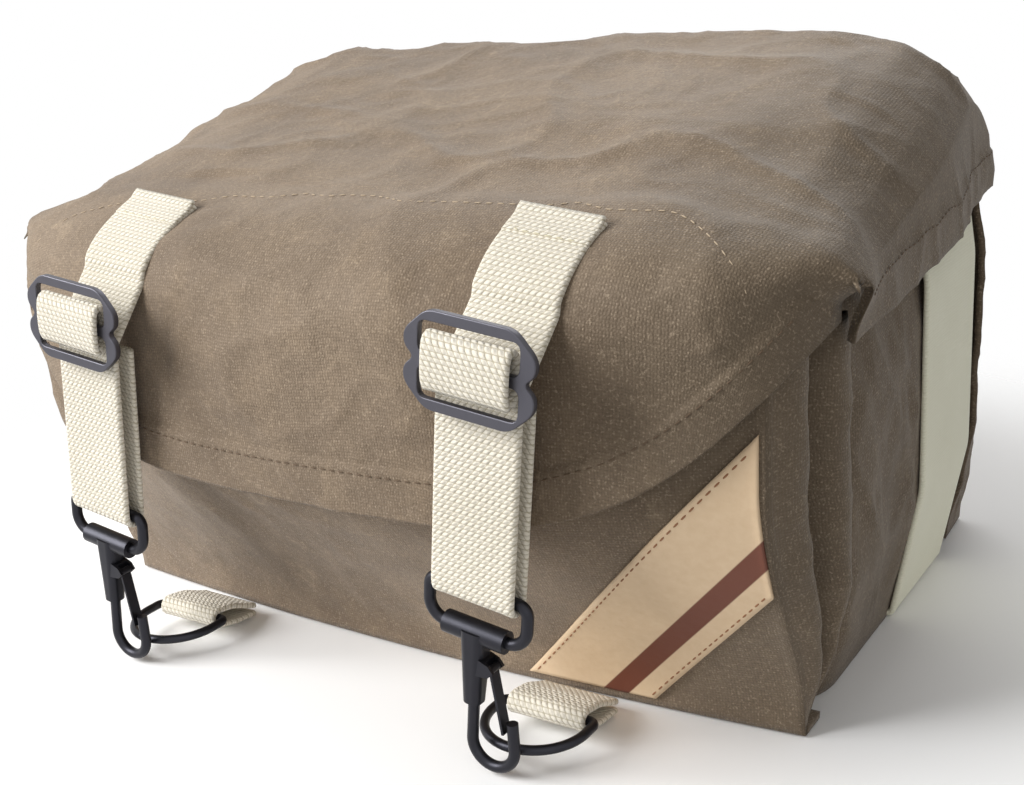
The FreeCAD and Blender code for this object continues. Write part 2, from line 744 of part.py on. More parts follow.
def make_wrap(side):
    """The webbing's sewn roll round the buckle's centre bar."""
    body = new_body(f"wrap_{side}")
    roll = new_sketch(body, f"wrap_roll_{side}", "YZ_Plane")
    deep, tall = "Sizes.wrap_deep / 2", "Sizes.wrap_tall / 2"
    wall = "(Sizes.strap_thick + 0.3)"
    rounded_box(roll, deep, f"-{tall}", tall, f"{deep} - 0.2")
    rounded_box(roll, f"{deep} - {wall}", f"-{tall} + 2 * {wall}", f"{tall} - 2 * {wall}", f"{deep} - {wall} - 0.1")
    pad(body, roll, "Sizes.strap_width")
    keep(body, f"buckle_wrap_{side}", strap_frame(side) * Placement(Vector(0, buckle_shift(), 0), Rotation()))


def bail_frame(side):
    return strap_frame(side) * Placement(Vector(0, size("fold_radius"), -size("bail_drop")), Rotation())


def hook_frame(side):
    return bail_frame(side) * Placement(Vector(0, 0, -size("bail_reach")), Rotation())


def make_bail(side):
    """Wire rectangle that joins the strap to the hook, its top bar in the strap's fold."""
    body = new_body(f"bail_{side}")
    path = new_sketch(body, f"bail_path_{side}", "XZ_Plane")
    rounded_box(path, f"({FITTING_INNER} + Sizes.bail_wire) / 2", "-Sizes.bail_reach", "0",
                "Sizes.bail_top_bend", "Sizes.bail_low_bend")
    profile = new_sketch(body, f"bail_wire_{side}", "YZ_Plane")
    circle_at(profile, "0", "0", "Sizes.bail_wire / 2")
    pipe(body, profile, path)
    keep(body, f"bail_{side}", bail_frame(side))


def make_hook_sleeve(side):
    """Pressed barrel round the bail's lower bar, tapering to a sleeve that grips the hook wire."""
    body = new_body(f"hook_sleeve_{side}")
    barrel = new_sketch(body, f"barrel_{side}", "YZ_Plane")
    circle_at(barrel, "0", "0", "Sizes.bail_wire / 2 + Sizes.barrel_wall")
    pad(body, barrel, "Sizes.barrel_long")
    shoulder = new_sketch(body, f"shoulder_{side}", "XY_Plane", "1")
    rounded_box(shoulder, "Sizes.sleeve_wide / 2", "-Sizes.sleeve_deep / 2", "Sizes.sleeve_deep / 2",
                "Sizes.sleeve_wide * 0.3")
    tip = new_sketch(body, f"sleeve_tip_{side}", "XY_Plane", "-Sizes.sleeve_long")
    rounded_box(tip, "Sizes.sleeve_tip / 2", "-Sizes.sleeve_tip / 2", "Sizes.sleeve_tip / 2",
                "Sizes.sleeve_tip * 0.4")
    sleeve = body.newObject("PartDesign::AdditiveLoft", f"sleeve_{side}")
    sleeve.Profile = shoulder
    sleeve.Sections = [tip]
    ear = new_sketch(body, f"ear_{side}", "XZ_Plane")
    back, down, roll = "Sizes.gate_back", "Sizes.gate_down", "Sizes.gate_roll"
    outline(ear, [("0", f"-{down} + 3 * {roll}"), (f"{back}", f"-{down} + 1.6 * {roll}"),
                  (f"{back} + 1.5 * {roll}", f"-{down}"), (f"{back}", f"-{down} - 1.6 * {roll}"),
                  ("0", f"-{down} - 2.4 * {roll}")])
    pad(body, ear, "Sizes.gate_wide + 2 * Sizes.cheek")
    notch = new_sketch(body, f"gate_notch_{side}", "XZ_Plane")
    outline(notch, [(f"{back} - 1.25 * {roll}", f"-{down} + 3 * {roll}"), (f"{back} + 3 * {roll}", f"-{down} + 3 * {roll}"),
                    (f"{back} + 3 * {roll}", f"-{down} - 4 * {roll}"), (f"{back} - 1.25 * {roll}", f"-{down} - 4 * {roll}")])
    pocket(body, notch, "Sizes.gate_wide + 0.4")
    bore = new_sketch(body, f"bail_bore_{side}", "YZ_Plane")
    circle_at(bore, "0", "0", "Sizes.bail_wire / 2 + Sizes.bore_clear")
    pocket(body, bore, "Sizes.barrel_long * 2")
    socket = new_sketch(body, f"wire_socket_{side}", "XY_Plane", "-Sizes.sleeve_long")
    circle_at(socket, "0", "0", "Sizes.hook_wire_size / 2 + 0.02")
    pocket(body, socket, "Sizes.sleeve_long * 0.6", midplane=False, reverse=True)
    keep(body, f"hook_sleeve_{side}", hook_frame(side))


def make_hook_wire(side):
    """Hook wire: a straight shank, a round bend and a tip that leans back towards the gate, across the bag."""
    body = new_body(f"hook_wire_{side}")
    path = new_sketch(body, f"hook_path_{side}", "XZ_Plane")
    drop, bend, tip = size("hook_drop"), size("hook_bend"), size("hook_tip")
    top, lean = -0.45 * size("sleeve_long"), size("hook_tip_lean")
    leave = Vector(bend * (1 + math.cos(math.radians(lean))), -drop + bend * math.sin(math.radians(lean)), 0)
    end = leave + Vector(-math.sin(math.radians(lean)), math.cos(math.radians(lean)), 0) * tip
    path.addGeometry([
        Part.LineSegment(Vector(0, top, 0), Vector(0, -drop, 0)),
        arc(bend, -drop, bend, 180, 360 + lean),
        Part.LineSegment(leave, end),
    ], False)
    path.addConstraint(Sketcher.Constraint("Tangent", 0, 2, 1, 1))
    path.addConstraint(Sketcher.Constraint("Tangent", 1, 2, 2, 1))
    path.addConstraint(Sketcher.Constraint("Vertical", 0))
    place_point(path, 0, 1, "0", "-0.45 * Sizes.sleeve_long")
    bind(path, "DistanceY", -1, 1, 0, 2, "-Sizes.hook_drop")
    bind(path, "Radius", 1, "Sizes.hook_bend")
    bind(path, "Distance", 2, "Sizes.hook_tip")
    bind(path, "DistanceX", 1, 2, 1, 3, "-Sizes.hook_bend * cos(Sizes.hook_tip_lean * 1 deg)")
    profile = new_sketch(body, f"hook_round_{side}", "XY_Plane", "-0.45 * Sizes.sleeve_long")
    circle_at(profile, "0", "0", "Sizes.hook_wire_size / 2")
    pipe(body, profile, path)
    keep(body, f"hook_wire_{side}", hook_frame(side))


def gate_pose():
    """The closed gate's slant and length, from its pivot to the inside of the hook's tip."""
    lean = math.radians(size("hook_tip_lean"))
    bend, drop, tip = size("hook_bend"), size("hook_drop"), size("hook_tip")
    tip_foot = Vector(0, bend * (1 + math.cos(lean)), -drop + bend * math.sin(lean))
    touch = tip_foot + Vector(0, -math.sin(lean), math.cos(lean)) * (tip * 0.6)
    away = size("hook_wire_size") / 2 + size("gate_thick") / 2 + size("gate_clear")
    inside = touch - Vector(0, math.cos(lean), math.sin(lean)) * away
    run = inside - Vector(0, size("gate_back"), -size("gate_down"))
    return math.degrees(math.atan2(run.y, -run.z)), run.Length


def make_gate(side):
    """Spring leaf with a rolled end that pivots between the sleeve's ears."""
    body = new_body(f"gate_{side}")
    roll = new_sketch(body, f"gate_roll_{side}", "XZ_Plane")
    circle_at(roll, "0", "0", "Sizes.gate_roll")
    pad(body, roll, "Sizes.gate_wide")
    leaf = new_sketch(body, f"gate_leaf_{side}", "XZ_Plane")
    half = "Sizes.gate_thick / 2"
    slant, reach = gate_pose()
    outline(leaf, [(f"-{half}", "0"), (half, "0"), (half, f"-{reach:.3f}"), (f"-{half}", f"-{reach:.3f}")])
    pad(body, leaf, "Sizes.gate_wide")
    pivot = Placement(Vector(size("gate_back"), 0, -size("gate_down")), Rotation(Vector(0, 1, 0), -slant))
    keep(body, f"gate_{side}", hook_frame(side) * pivot)


def ring_centre(side):
    return Vector(size("ring_x") + SIDES[side] * size("strap_pitch"), -value(RING_BAR), size("ring_height"))


def make_ring(side):
    """D-shaped wire ring that lies forward from the bar in its tab and ends just behind the hook."""
    body = new_body(f"ring_{side}")
    path = new_sketch(body, f"ring_path_{side}", "XY_Plane")
    half = (value(FITTING_INNER) + size("ring_wire")) / 2
    r, leg = size("ring_bend"), size("ring_leg")
    path.addGeometry([
        Part.LineSegment(Vector(-half + r, 0, 0), Vector(half - r, 0, 0)),
        Part.LineSegment(Vector(half, -r, 0), Vector(half, -leg, 0)),
        Part.LineSegment(Vector(-half, -leg, 0), Vector(-half, -r, 0)),
        arc(half - r, -r, r, 0, 90),
        arc(-half + r, -r, r, 90, 180),
        arc(0, -leg, half, 180, 360),
    ], False)
    for a, a_end, b, b_end in [(0, 2, 3, 2), (3, 1, 1, 1), (1, 2, 5, 2), (5, 1, 2, 1), (2, 2, 4, 2), (4, 1, 0, 1)]:
        path.addConstraint(Sketcher.Constraint("Tangent", a, a_end, b, b_end))
    for line, kind in ((0, "Horizontal"), (1, "Vertical"), (2, "Vertical")):
        path.addConstraint(Sketcher.Constraint(kind, line))
    wide = f"({FITTING_INNER} + Sizes.ring_wire) / 2"
    bind(path, "DistanceY", -1, 1, 0, 1, "0")
    bind(path, "DistanceX", -1, 1, 1, 1, wide)
    bind(path, "DistanceX", -1, 1, 2, 1, f"-{wide}")
    bind(path, "DistanceY", -1, 1, 5, 3, "-Sizes.ring_leg")
    bind(path, "Radius", 3, "Sizes.ring_bend")
    bind(path, "Radius", 4, "Sizes.ring_bend")
    profile = new_sketch(body, f"ring_wire_{side}", "YZ_Plane")
    circle_at(profile, "0", "0", "Sizes.ring_wire / 2")
    pipe(body, profile, path)
    keep(body, f"ring_{side}", Placement(ring_centre(side), Rotation()))


def make_ring_tab(side):
    """Narrow webbing folded round the ring's bar and sewn under the pocket's front edge."""
    centre = ring_centre(side)
    half, thick = size("strap_width") / 2, size("strap_thick")
    eye = size("ring_wire") / 2 + size("tab_clear")
    outer = eye + thick
    axis = Vector(1, 0, 0)
    start = centre - axis * half
    seam_y, seam_z = -size("pocket_foot") + 6, 3.0
    tail = [Vector(start.x, seam_y, seam_z + thick), Vector(start.x, seam_y, max(seam_z - thick, 0.3))]
    wedge = Part.makePolygon([Vector(start.x, start.y, start.z + outer), tail[0], tail[1],
                              Vector(start.x, start.y, start.z - outer), Vector(start.x, start.y, start.z + outer)])
    solid = Part.Face(wedge).extrude(axis * 2 * half)
    solid = solid.fuse(Part.makeCylinder(outer, 2 * half, start, axis))
    gap = 0.35
    slit = Part.makePolygon([Vector(start.x, start.y, start.z + eye), Vector(start.x, seam_y - 10, seam_z + gap),
                             Vector(start.x, seam_y - 10, seam_z - gap), Vector(start.x, start.y, start.z - eye),
                             Vector(start.x, start.y, start.z + eye)])
    solid = solid.cut(Part.Face(slit).extrude(axis * 2 * half))
    solid = solid.cut(Part.makeCylinder(eye, 2 * half, start, axis))
    solid = solid.cut(front_pocket_block(-0.05))
    soft_part(f"ring_tab_{side}", solid.removeSplitter())


# ---------------------------------------------------------------------------
# Build, check and export
# ---------------------------------------------------------------------------


def build():
    make_compartment()
    make_base_board()
    make_front_pocket()
    make_rear_pocket()
    make_label()
    make_body_webbing()
    make_lid()
    make_lid_pocket()
    make_zip_slider()
    make_flap()
    for side in SIDES:
        make_strap_tab(side)
        make_strap(side)
        make_buckle(side)
        make_wrap(side)
        make_bail(side)
        make_hook_sleeve(side)
        make_hook_wire(side)
        make_gate(side)
        make_ring(side)
        make_ring_tab(side)


def check_and_export():
    """Stop on a failed object or a bad shape, then write one STEP file for each sub-part."""
    DOC.recompute()
    failed = [item.Label for item in DOC.Objects if {"Invalid", "Error"} & set(item.State)]
    failed += [item.Label for item in SUBPARTS if item.Shape.isNull() or not item.Shape.isValid()]
    if failed:
        raise RuntimeError(f"failed objects: {sorted(set(failed))}")
    os.makedirs("parts", exist_ok=True)
    for item in SUBPARTS:
        item.Shape.exportStep(f"parts/{item.Label}.step")
        box = item.Shape.BoundBox
        print(f"{item.Label:22s} solids {len(item.Shape.Solids)} volume {item.Shape.Volume / 1000:8.2f} cm3 "
              f"x {box.XMin:.1f}..{box.XMax:.1f} y {box.YMin:.1f}..{box.YMax:.1f} z {box.ZMin:.1f}..{box.ZMax:.1f}")


build()
check_and_export()
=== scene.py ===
"""Dresses the canvas satchel: waxed canvas panels, cotton webbing, a sewn label and dark metal fittings."""

import logging
import math
from dataclasses import dataclass, field
from enum import Enum
from functools import cache
from typing import Callable, Iterable, Optional, Sequence

import bmesh
import bpy
import numpy as np
from mathutils import Matrix, Vector, noise
from mathutils.bvhtree import BVHTree


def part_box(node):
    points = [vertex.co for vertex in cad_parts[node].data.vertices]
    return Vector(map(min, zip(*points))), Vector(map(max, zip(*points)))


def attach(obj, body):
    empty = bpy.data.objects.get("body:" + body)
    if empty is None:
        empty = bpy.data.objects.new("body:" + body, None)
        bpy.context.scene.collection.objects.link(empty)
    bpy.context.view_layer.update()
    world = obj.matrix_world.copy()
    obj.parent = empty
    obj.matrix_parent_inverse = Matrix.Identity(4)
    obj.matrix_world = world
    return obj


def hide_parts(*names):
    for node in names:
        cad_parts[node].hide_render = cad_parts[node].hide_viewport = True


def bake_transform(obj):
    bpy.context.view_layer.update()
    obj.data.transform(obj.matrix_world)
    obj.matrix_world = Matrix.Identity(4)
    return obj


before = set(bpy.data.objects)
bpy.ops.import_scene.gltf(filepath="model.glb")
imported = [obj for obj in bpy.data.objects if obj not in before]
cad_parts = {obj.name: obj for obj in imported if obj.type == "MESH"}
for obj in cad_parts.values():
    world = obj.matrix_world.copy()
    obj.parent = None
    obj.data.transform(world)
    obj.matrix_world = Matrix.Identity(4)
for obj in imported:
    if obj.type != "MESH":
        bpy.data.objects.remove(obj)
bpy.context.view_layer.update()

LOG = logging.getLogger("satchel")
MM = 0.001
Shade = tuple[float, float, float, float]


class Side(Enum):
    """The two fastenings. The value is how many strap pitches each lies along X."""

    RIGHT = 0
    LEFT = -1

    @property
    def word(self) -> str:
        """The side's name as the nodes spell it."""
        return self.name.lower()


# ---------------------------------------------------------------------------
# Forms: the curves that the sewn panels follow, in millimetres
# ---------------------------------------------------------------------------


def smooth(t: np.ndarray | float) -> np.ndarray | float:
    """Ease from 0 to 1.

    Args:
        t: A share, which is held between 0 and 1.

    Returns:
        The eased share.
    """
    t = np.clip(t, 0.0, 1.0)
    return t * t * (3 - 2 * t)


@dataclass
class LidForm:
    """The folding lid and the flap that hangs from its front, as one sheet of canvas."""

    half: float = 146.0
    crest_height: float = 181.5
    crest: float = 30.0
    slope: float = 0.281
    back: float = 64.0
    back_drop: float = 14.5
    front: float = 88.0
    fold: float = 91.4
    hem_front: float = 114.0
    hem_back: float = 128.0
    flap_half: float = 143.5
    flap_low: float = 66.0
    flap_corner: float = 126.0
    bulge: float = 40.1
    side_ease: float = 0.55
    shoulder: tuple[tuple[float, float], ...] = (
        (0.0, 0.0), (0.45, 0.2), (0.69, 0.9), (0.86, 4.8), (0.945, 12.4), (0.983, 21.0))

    def crown(self, y: float) -> float:
        """Height of the lid's middle at y."""
        if y <= self.crest:
            return self.crest_height - self.slope * (self.crest - y)
        return self.crest_height - self.back_drop * ((y - self.crest) / (self.back - self.crest)) ** 2.4

    def fall(self, x: float) -> float:
        """Drop of the lid's skin from its middle at x, smoothed through the shoulder."""
        share = abs(x) / self.half
        shares, falls = zip(*self.shoulder)
        wide = [float(np.interp(share + step, shares, falls)) for step in (-0.02, -0.01, 0.0, 0.01, 0.02)]
        return float(np.mean(wide)) if share < 0.95 else float(np.interp(share, shares, falls))

    def top(self, x: float, y: float) -> float:
        """Height of the lid's outer skin."""
        return self.crown(y) - self.fall(x)

    def hem(self, y: float) -> float:
        """Height of the lower edge of the lid's side."""
        share = (y + self.front) / (self.back + self.front)
        return self.hem_front + (self.hem_back - self.hem_front) * share

    def flap_hem(self, x: float) -> float:
        """Height of the flap's lower edge at x."""
        return self.flap_low + (self.flap_corner - self.flap_low) * (abs(x) / (self.half + 1)) ** 4

    def flap(self, x: float, share: float) -> tuple[float, float]:
        """A point of the flap's outer skin.

        Args:
            x: Distance across the bag.
            share: 0 at the fold and 1 at the hem.

        Returns:
            Its y and z.
        """
        top, low = self.top(x, -self.front), self.flap_hem(x)
        out = self.bulge * (1 - self.side_ease * abs(x / self.flap_half) ** 3)
        out *= 1 - min(abs(x) / self.flap_half, 1.0) ** 24
        swell = 1 - max(1 - share / 0.55, 0.0) ** 4
        return -self.fold - out * swell, top + (low - top) * share

    def flap_skin(self, x: float, z: float) -> float:
        """How far forward the flap's skin lies at a point of the front view."""
        top, low = self.top(x, -self.front), self.flap_hem(x)
        return self.flap(x, (z - top) / (low - top))[0]


@dataclass
class BodyForm:
    """The main compartment, the front pocket and the rear pocket."""

    half_foot: float = 129.0
    half_middle: float = 138.0
    half_rim: float = 129.0
    height: float = 172.0
    front: float = 72.0
    back: float = 62.0
    corner: float = 20.0
    pocket_half: float = 132.0
    pocket_height: float = 118.0
    foot: float = 90.0
    foot_side: float = 83.0
    bulge: float = 37.5
    bulge_side: float = 26.0
    bulge_height: float = 80.0
    rear_half: float = 128.0
    rear_height: float = 128.0
    rear_foot: float = 84.0
    rear_bulge: float = 11.5
    rear_bulge_height: float = 48.0
    rear_mouth: float = 68.0

    def half(self, z: float) -> float:
        """Half width of the main compartment at a height."""
        levels = (0.0, 45.0, 110.0, self.height)
        return float(np.interp(z, levels, (self.half_foot, self.half_middle, self.half_middle, self.half_rim)))

    def pocket_front(self, x: float, z: float) -> float:
        """How far forward the front pocket's skin lies, as a negative y."""
        side = (x / self.pocket_half) ** 2
        foot = self.foot + (self.foot_side - self.foot) * side
        out = self.bulge + (self.bulge_side - self.bulge) * side
        if z < self.bulge_height:
            share = max(z, 0.0) / self.bulge_height
            swell = share * share * (3 - 2 * share)
        else:
            swell = 1 - 0.08 * ((z - self.bulge_height) / (self.pocket_height - self.bulge_height)) ** 2
        return -foot - out * swell

    def rear_skin(self, z: float) -> float:
        """How far back the rear pocket's skin lies."""
        full, low, out = self.rear_bulge_height, self.rear_foot, self.rear_bulge
        levels = (0.0, full / 2, full, (full + self.rear_height) / 2, self.rear_height)
        mid = (low + out + self.rear_mouth) / 2 + 3
        return float(np.interp(z, levels, (low, low + out * 0.8, low + out, mid, self.rear_mouth)))

    def outline(self, z: float, grow: float, count: int) -> np.ndarray:
        """Points round the compartment at a height, even along its outline, from the back's middle.

        Args:
            z: Height.
            grow: How far outside the canvas the points lie.
            count: Number of points. The last repeats the first.

        Returns:
            An array of x and y.
        """
        w, front, back, r = self.half(z) + grow, -self.front - grow, self.back + grow, self.corner + grow
        points: list[tuple[float, float]] = [(0.0, back)]
        corners = ((w - r, back - r, 90), (w - r, front + r, 0),
                   (-w + r, front + r, -90), (-w + r, back - r, -180))
        for cx, cy, start in corners:
            for k in range(9):
                angle = math.radians(start - 90 * k / 8)
                points.append((cx + r * math.cos(angle), cy + r * math.sin(angle)))
        points.append((0.0, back))
        line = np.array(points)
        run = lengths(line)
        even = np.linspace(0, run[-1], count)
        return np.stack([np.interp(even, run, line[:, 0]), np.interp(even, run, line[:, 1])], axis=1)


LID = LidForm()
BODY = BodyForm()


# ---------------------------------------------------------------------------
# Mesh helpers
# ---------------------------------------------------------------------------


def folds(point: Sequence[float], size: float, seed: float, stretch: Sequence[float] = (1, 1, 1)) -> float:
    """Soft creased relief, like canvas that has been folded and pressed.

    Args:
        point: A place in millimetres.
        size: Usual distance between folds.
        seed: Offset that picks another pattern.
        stretch: Divides each axis, so that folds run along the larger ones.

    Returns:
        A height from about -1 to 1.
    """
    p = Vector([point[i] / (size * stretch[i]) for i in range(3)]) + Vector((seed, seed * 1.7, -seed))
    warp = Vector((noise.noise(p * 0.7), noise.noise(p * 0.7 + Vector((9, 2, 4))), 0)) * 0.6
    soft = noise.noise(p + warp)
    ridge = 1 - 2 * abs(noise.noise(p * 1.6 + warp * 1.5 + Vector((3, 7, 1))))
    return 0.6 * soft + 0.4 * (ridge ** 3 if ridge > 0 else 0.0) - 0.08


def grid_normals(points: np.ndarray) -> np.ndarray:
    """Unit normals of a grid of points, by the right hand from its rows to its columns."""
    along = np.gradient(points, axis=0)
    across = np.gradient(points, axis=1)
    normal = np.cross(along, across)
    length = np.linalg.norm(normal, axis=2, keepdims=True)
    return normal / np.maximum(length, 1e-9)


def relief(points: np.ndarray, height: Callable[[np.ndarray], float]) -> np.ndarray:
    """Push a grid along its normals by a height in millimetres at each point."""
    normal = grid_normals(points)
    amount = np.array([[height(points[i, j]) for j in range(points.shape[1])] for i in range(points.shape[0])])
    return points + normal * amount[:, :, None]


def build(name: str, points: np.ndarray, faces: list[tuple[int, ...]],
          uv: Optional[np.ndarray] = None) -> bpy.types.Object:
    """Make a smooth-shaded mesh object.

    Args:
        name: The piece's name.
        points: Corners in millimetres.
        faces: Indices of each face's corners.
        uv: A place on the cloth for each corner, in metres.

    Returns:
        The new object.
    """
    mesh = bpy.data.meshes.new(name)
    mesh.from_pydata((points * MM).tolist(), [], faces)
    mesh.polygons.foreach_set("use_smooth", [True] * len(mesh.polygons))
    if uv is not None:
        layer = mesh.uv_layers.new(name="cloth")
        index = np.empty(len(mesh.loops), dtype=np.int32)
        mesh.loops.foreach_get("vertex_index", index)
        layer.data.foreach_set("uv", uv[index].astype(np.float32).ravel())
    mesh.validate()
    obj = bpy.data.objects.new(name, mesh)
    bpy.context.scene.collection.objects.link(obj)
    return obj


def cloth_uv(points: np.ndarray) -> np.ndarray:
    """Lengths along a grid's rows and columns, in metres, from its first corner."""
    across = np.linalg.norm(np.diff(points, axis=1), axis=2)
    along = np.linalg.norm(np.diff(points, axis=0), axis=2)
    u = np.concatenate([np.zeros((points.shape[0], 1)), np.cumsum(across, axis=1)], axis=1)
    v = np.concatenate([np.zeros((1, points.shape[1])), np.cumsum(along, axis=0)], axis=0)
    u = u - u[:, [u.shape[1] // 2]]
    return np.stack([u, v], axis=2) * MM


def sheet(name: str, outer: np.ndarray, thick: float, skip: Optional[np.ndarray] = None) -> bpy.types.Object:
    """A panel of cloth with two faces and closed edges.

    Args:
        name: The piece's name.
        outer: Grid of points on its outer face, whose normals point outwards.
        thick: Its thickness inwards.
        skip: True for each cell of the grid that is left out.

    Returns:
        The new object.
    """
    rows, cols = outer.shape[:2]
    inner = outer - grid_normals(outer) * thick
    points = np.concatenate([outer.reshape(-1, 3), inner.reshape(-1, 3)])
    uv = np.tile(cloth_uv(outer).reshape(-1, 2), (2, 1))
    keep = np.ones((rows - 1, cols - 1), bool) if skip is None else ~skip
    low = rows * cols
    faces: list[tuple[int, ...]] = []
    for i in range(rows - 1):
        for j in range(cols - 1):
            if not keep[i, j]:
                continue
            a, b, c, d = i * cols + j, i * cols + j + 1, (i + 1) * cols + j + 1, (i + 1) * cols + j
            faces.append((a, d, c, b))
            faces.append((a + low, b + low, c + low, d + low))
            if i == 0 or not keep[i - 1, j]:
                faces.append((a, b, b + low, a + low))
            if i == rows - 2 or not keep[i + 1, j]:
                faces.append((c, d, d + low, c + low))
            if j == 0 or not keep[i, j - 1]:
                faces.append((d, a, a + low, d + low))
            if j == cols - 2 or not keep[i, j + 1]:
                faces.append((b, c, c + low, b + low))
    obj = build(name, points, faces, uv)
    drop_loose(obj)
    return obj


def drop_loose(obj: bpy.types.Object, weld: bool = False) -> None:
    """Delete corners that no face uses, and join those that share a place if asked to."""
    shape = bmesh.new()
    shape.from_mesh(obj.data)
    if weld:
        bmesh.ops.remove_doubles(shape, verts=shape.verts, dist=1e-6)
    bmesh.ops.delete(shape, geom=[v for v in shape.verts if not v.link_faces], context="VERTS")
    bmesh.ops.recalc_face_normals(shape, faces=shape.faces)
    shape.to_mesh(obj.data)
    shape.free()


def band(name: str, path: np.ndarray, across: np.ndarray, width: float, thick: float) -> bpy.types.Object:
    """A length of webbing with full, rounded selvedges.

    Args:
        name: The piece's name.
        path: Points along its middle.
        across: Unit vector across the webbing at each point.
        width: Its width.
        thick: Its thickness.

    Returns:
        The new object.
    """
    half, r = width / 2, thick / 2
    ring: list[tuple[float, float]] = []
    for k in range(11):
        ring.append((-half + r + (width - thick) * k / 10, r * (0.9 if 0 < k < 10 else 1.0)))
    for k in range(1, 6):
        angle = math.pi / 2 - math.pi * k / 6
        ring.append((half - r + r * math.cos(angle), r * math.sin(angle)))
    for k in range(11):
        ring.append((half - r - (width - thick) * k / 10, -r * (0.9 if 0 < k < 10 else 1.0)))
    for k in range(1, 6):
        angle = -math.pi / 2 - math.pi * k / 6
        ring.append((-half + r + r * math.cos(angle), r * math.sin(angle)))
    count, n = len(path), len(ring)
    tangent = np.gradient(path, axis=0)
    tangent /= np.linalg.norm(tangent, axis=1, keepdims=True)
    up = np.cross(tangent, across)
    up /= np.linalg.norm(up, axis=1, keepdims=True)
    run = lengths(path)
    points, uv = [], []
    for i in range(count):
        for x, z in ring:
            points.append(path[i] + across[i] * x + up[i] * z)
            uv.append((x * MM, run[i] * MM))
    faces: list[tuple[int, ...]] = []
    for i in range(count - 1):
        for k in range(n):
            faces.append((i * n + k, i * n + (k + 1) % n, (i + 1) * n + (k + 1) % n, (i + 1) * n + k))
    faces.append(tuple(reversed(range(n))))
    faces.append(tuple(range((count - 1) * n, count * n)))
    obj = build(name, np.array(points), faces, np.array(uv))
    drop_loose(obj)
    return obj


def tree_of(obj: bpy.types.Object) -> BVHTree:
    """An object's surface, ready to be met by a ray."""
    return BVHTree.FromPolygons([v.co for v in obj.data.vertices], [p.vertices for p in obj.data.polygons])


def lengths(line: np.ndarray) -> np.ndarray:
    """Distance from a line's start to each of its points."""
    return np.concatenate([[0], np.cumsum(np.linalg.norm(np.diff(line, axis=0), axis=1))])


def eased(line: np.ndarray, weights: np.ndarray) -> np.ndarray:
    """A smoothed line.

    Args:
        line: Its points.
        weights: An odd number of weights that add up to 1.

    Returns:
        The smoothed points.
    """
    reach = len(weights) // 2
    padded = [np.pad(line[:, i], reach, mode="edge") for i in range(3)]
    return np.stack([np.convolve(axis, weights, mode="valid") for axis in padded], axis=1)


def resample(points: Iterable[Sequence[float]], step: float) -> np.ndarray:
    """Even points along a line, with its corners eased.

    Args:
        points: The line's points.
        step: Distance between the new points.

    Returns:
        An array of points that keeps both ends.
    """
    line = np.array(list(points), float)
    run = lengths(line)
    even = np.linspace(0, run[-1], max(int(run[-1] / step), 2) + 1)
    return np.stack([np.interp(even, run, line[:, i]) for i in range(line.shape[1])], axis=1)


def stitches(name: str, paths: list[tuple[np.ndarray, np.ndarray]], length: float, gap: float,
             wide: float) -> bpy.types.Object:
    """Rows of sewn stitches, each a small rounded bar laid on the cloth.

    Args:
        name: The piece's name.
        paths: For each row, its points and the cloth's outward normals there.
        length: Length of a stitch.
        gap: Distance between stitches.
        wide: Width of the thread.

    Returns:
        The new object.
    """
    points: list[np.ndarray] = []
    faces: list[tuple[int, ...]] = []
    for line, normals in paths:
        run = lengths(line)
        at = 0.0
        while at + length <= run[-1]:
            ends = [np.array([np.interp(s, run, line[:, i]) for i in range(3)]) for s in (at, at + length)]
            up = np.array([np.interp(at + length / 2, run, normals[:, i]) for i in range(3)])
            up /= np.linalg.norm(up)
            along = ends[1] - ends[0]
            side = np.cross(along, up)
            side /= max(np.linalg.norm(side), 1e-9)
            start = len(points)
            for share, swell in ((0.0, 0.35), (0.2, 0.9), (0.5, 1.0), (0.8, 0.9), (1.0, 0.35)):
                centre = ends[0] + along * share
                for k in range(6):
                    angle = math.tau * k / 6
                    spoke = side * math.cos(angle) + up * math.sin(angle) * 0.7
                    points.append(centre + spoke * wide / 2 * swell)
            for i in range(4):
                for k in range(6):
                    a, b = start + i * 6 + k, start + i * 6 + (k + 1) % 6
                    faces.append((a, b, b + 6, a + 6))
            faces.append(tuple(start + k for k in reversed(range(6))))
            faces.append(tuple(start + 24 + k for k in range(6)))
            at += length + gap
    return build(name, np.array(points), faces)


def rounded(points: Sequence[tuple[float, float]], radius: float) -> list[tuple[float, float]]:
    """A closed outline with its corners eased.

    Args:
        points: Its corners.
        radius: How far from each corner the easing starts, where the sides are long enough.

    Returns:
        The points of the eased outline.
    """
    line: list[tuple[float, float]] = []
    count = len(points)
    for k, corner in enumerate(points):
        here, before, after = (np.array(p, float) for p in (corner, points[k - 1], points[(k + 1) % count]))
        starts = []
        for end in (before, after):
            reach = float(np.linalg.norm(end - here))
            starts.append(here + (end - here) / reach * min(radius, 0.48 * reach))
        for t in np.linspace(0, 1, 9):
            line.append(tuple((1 - t) ** 2 * starts[0] + 2 * t * (1 - t) * here + t * t * starts[1]))
    return line


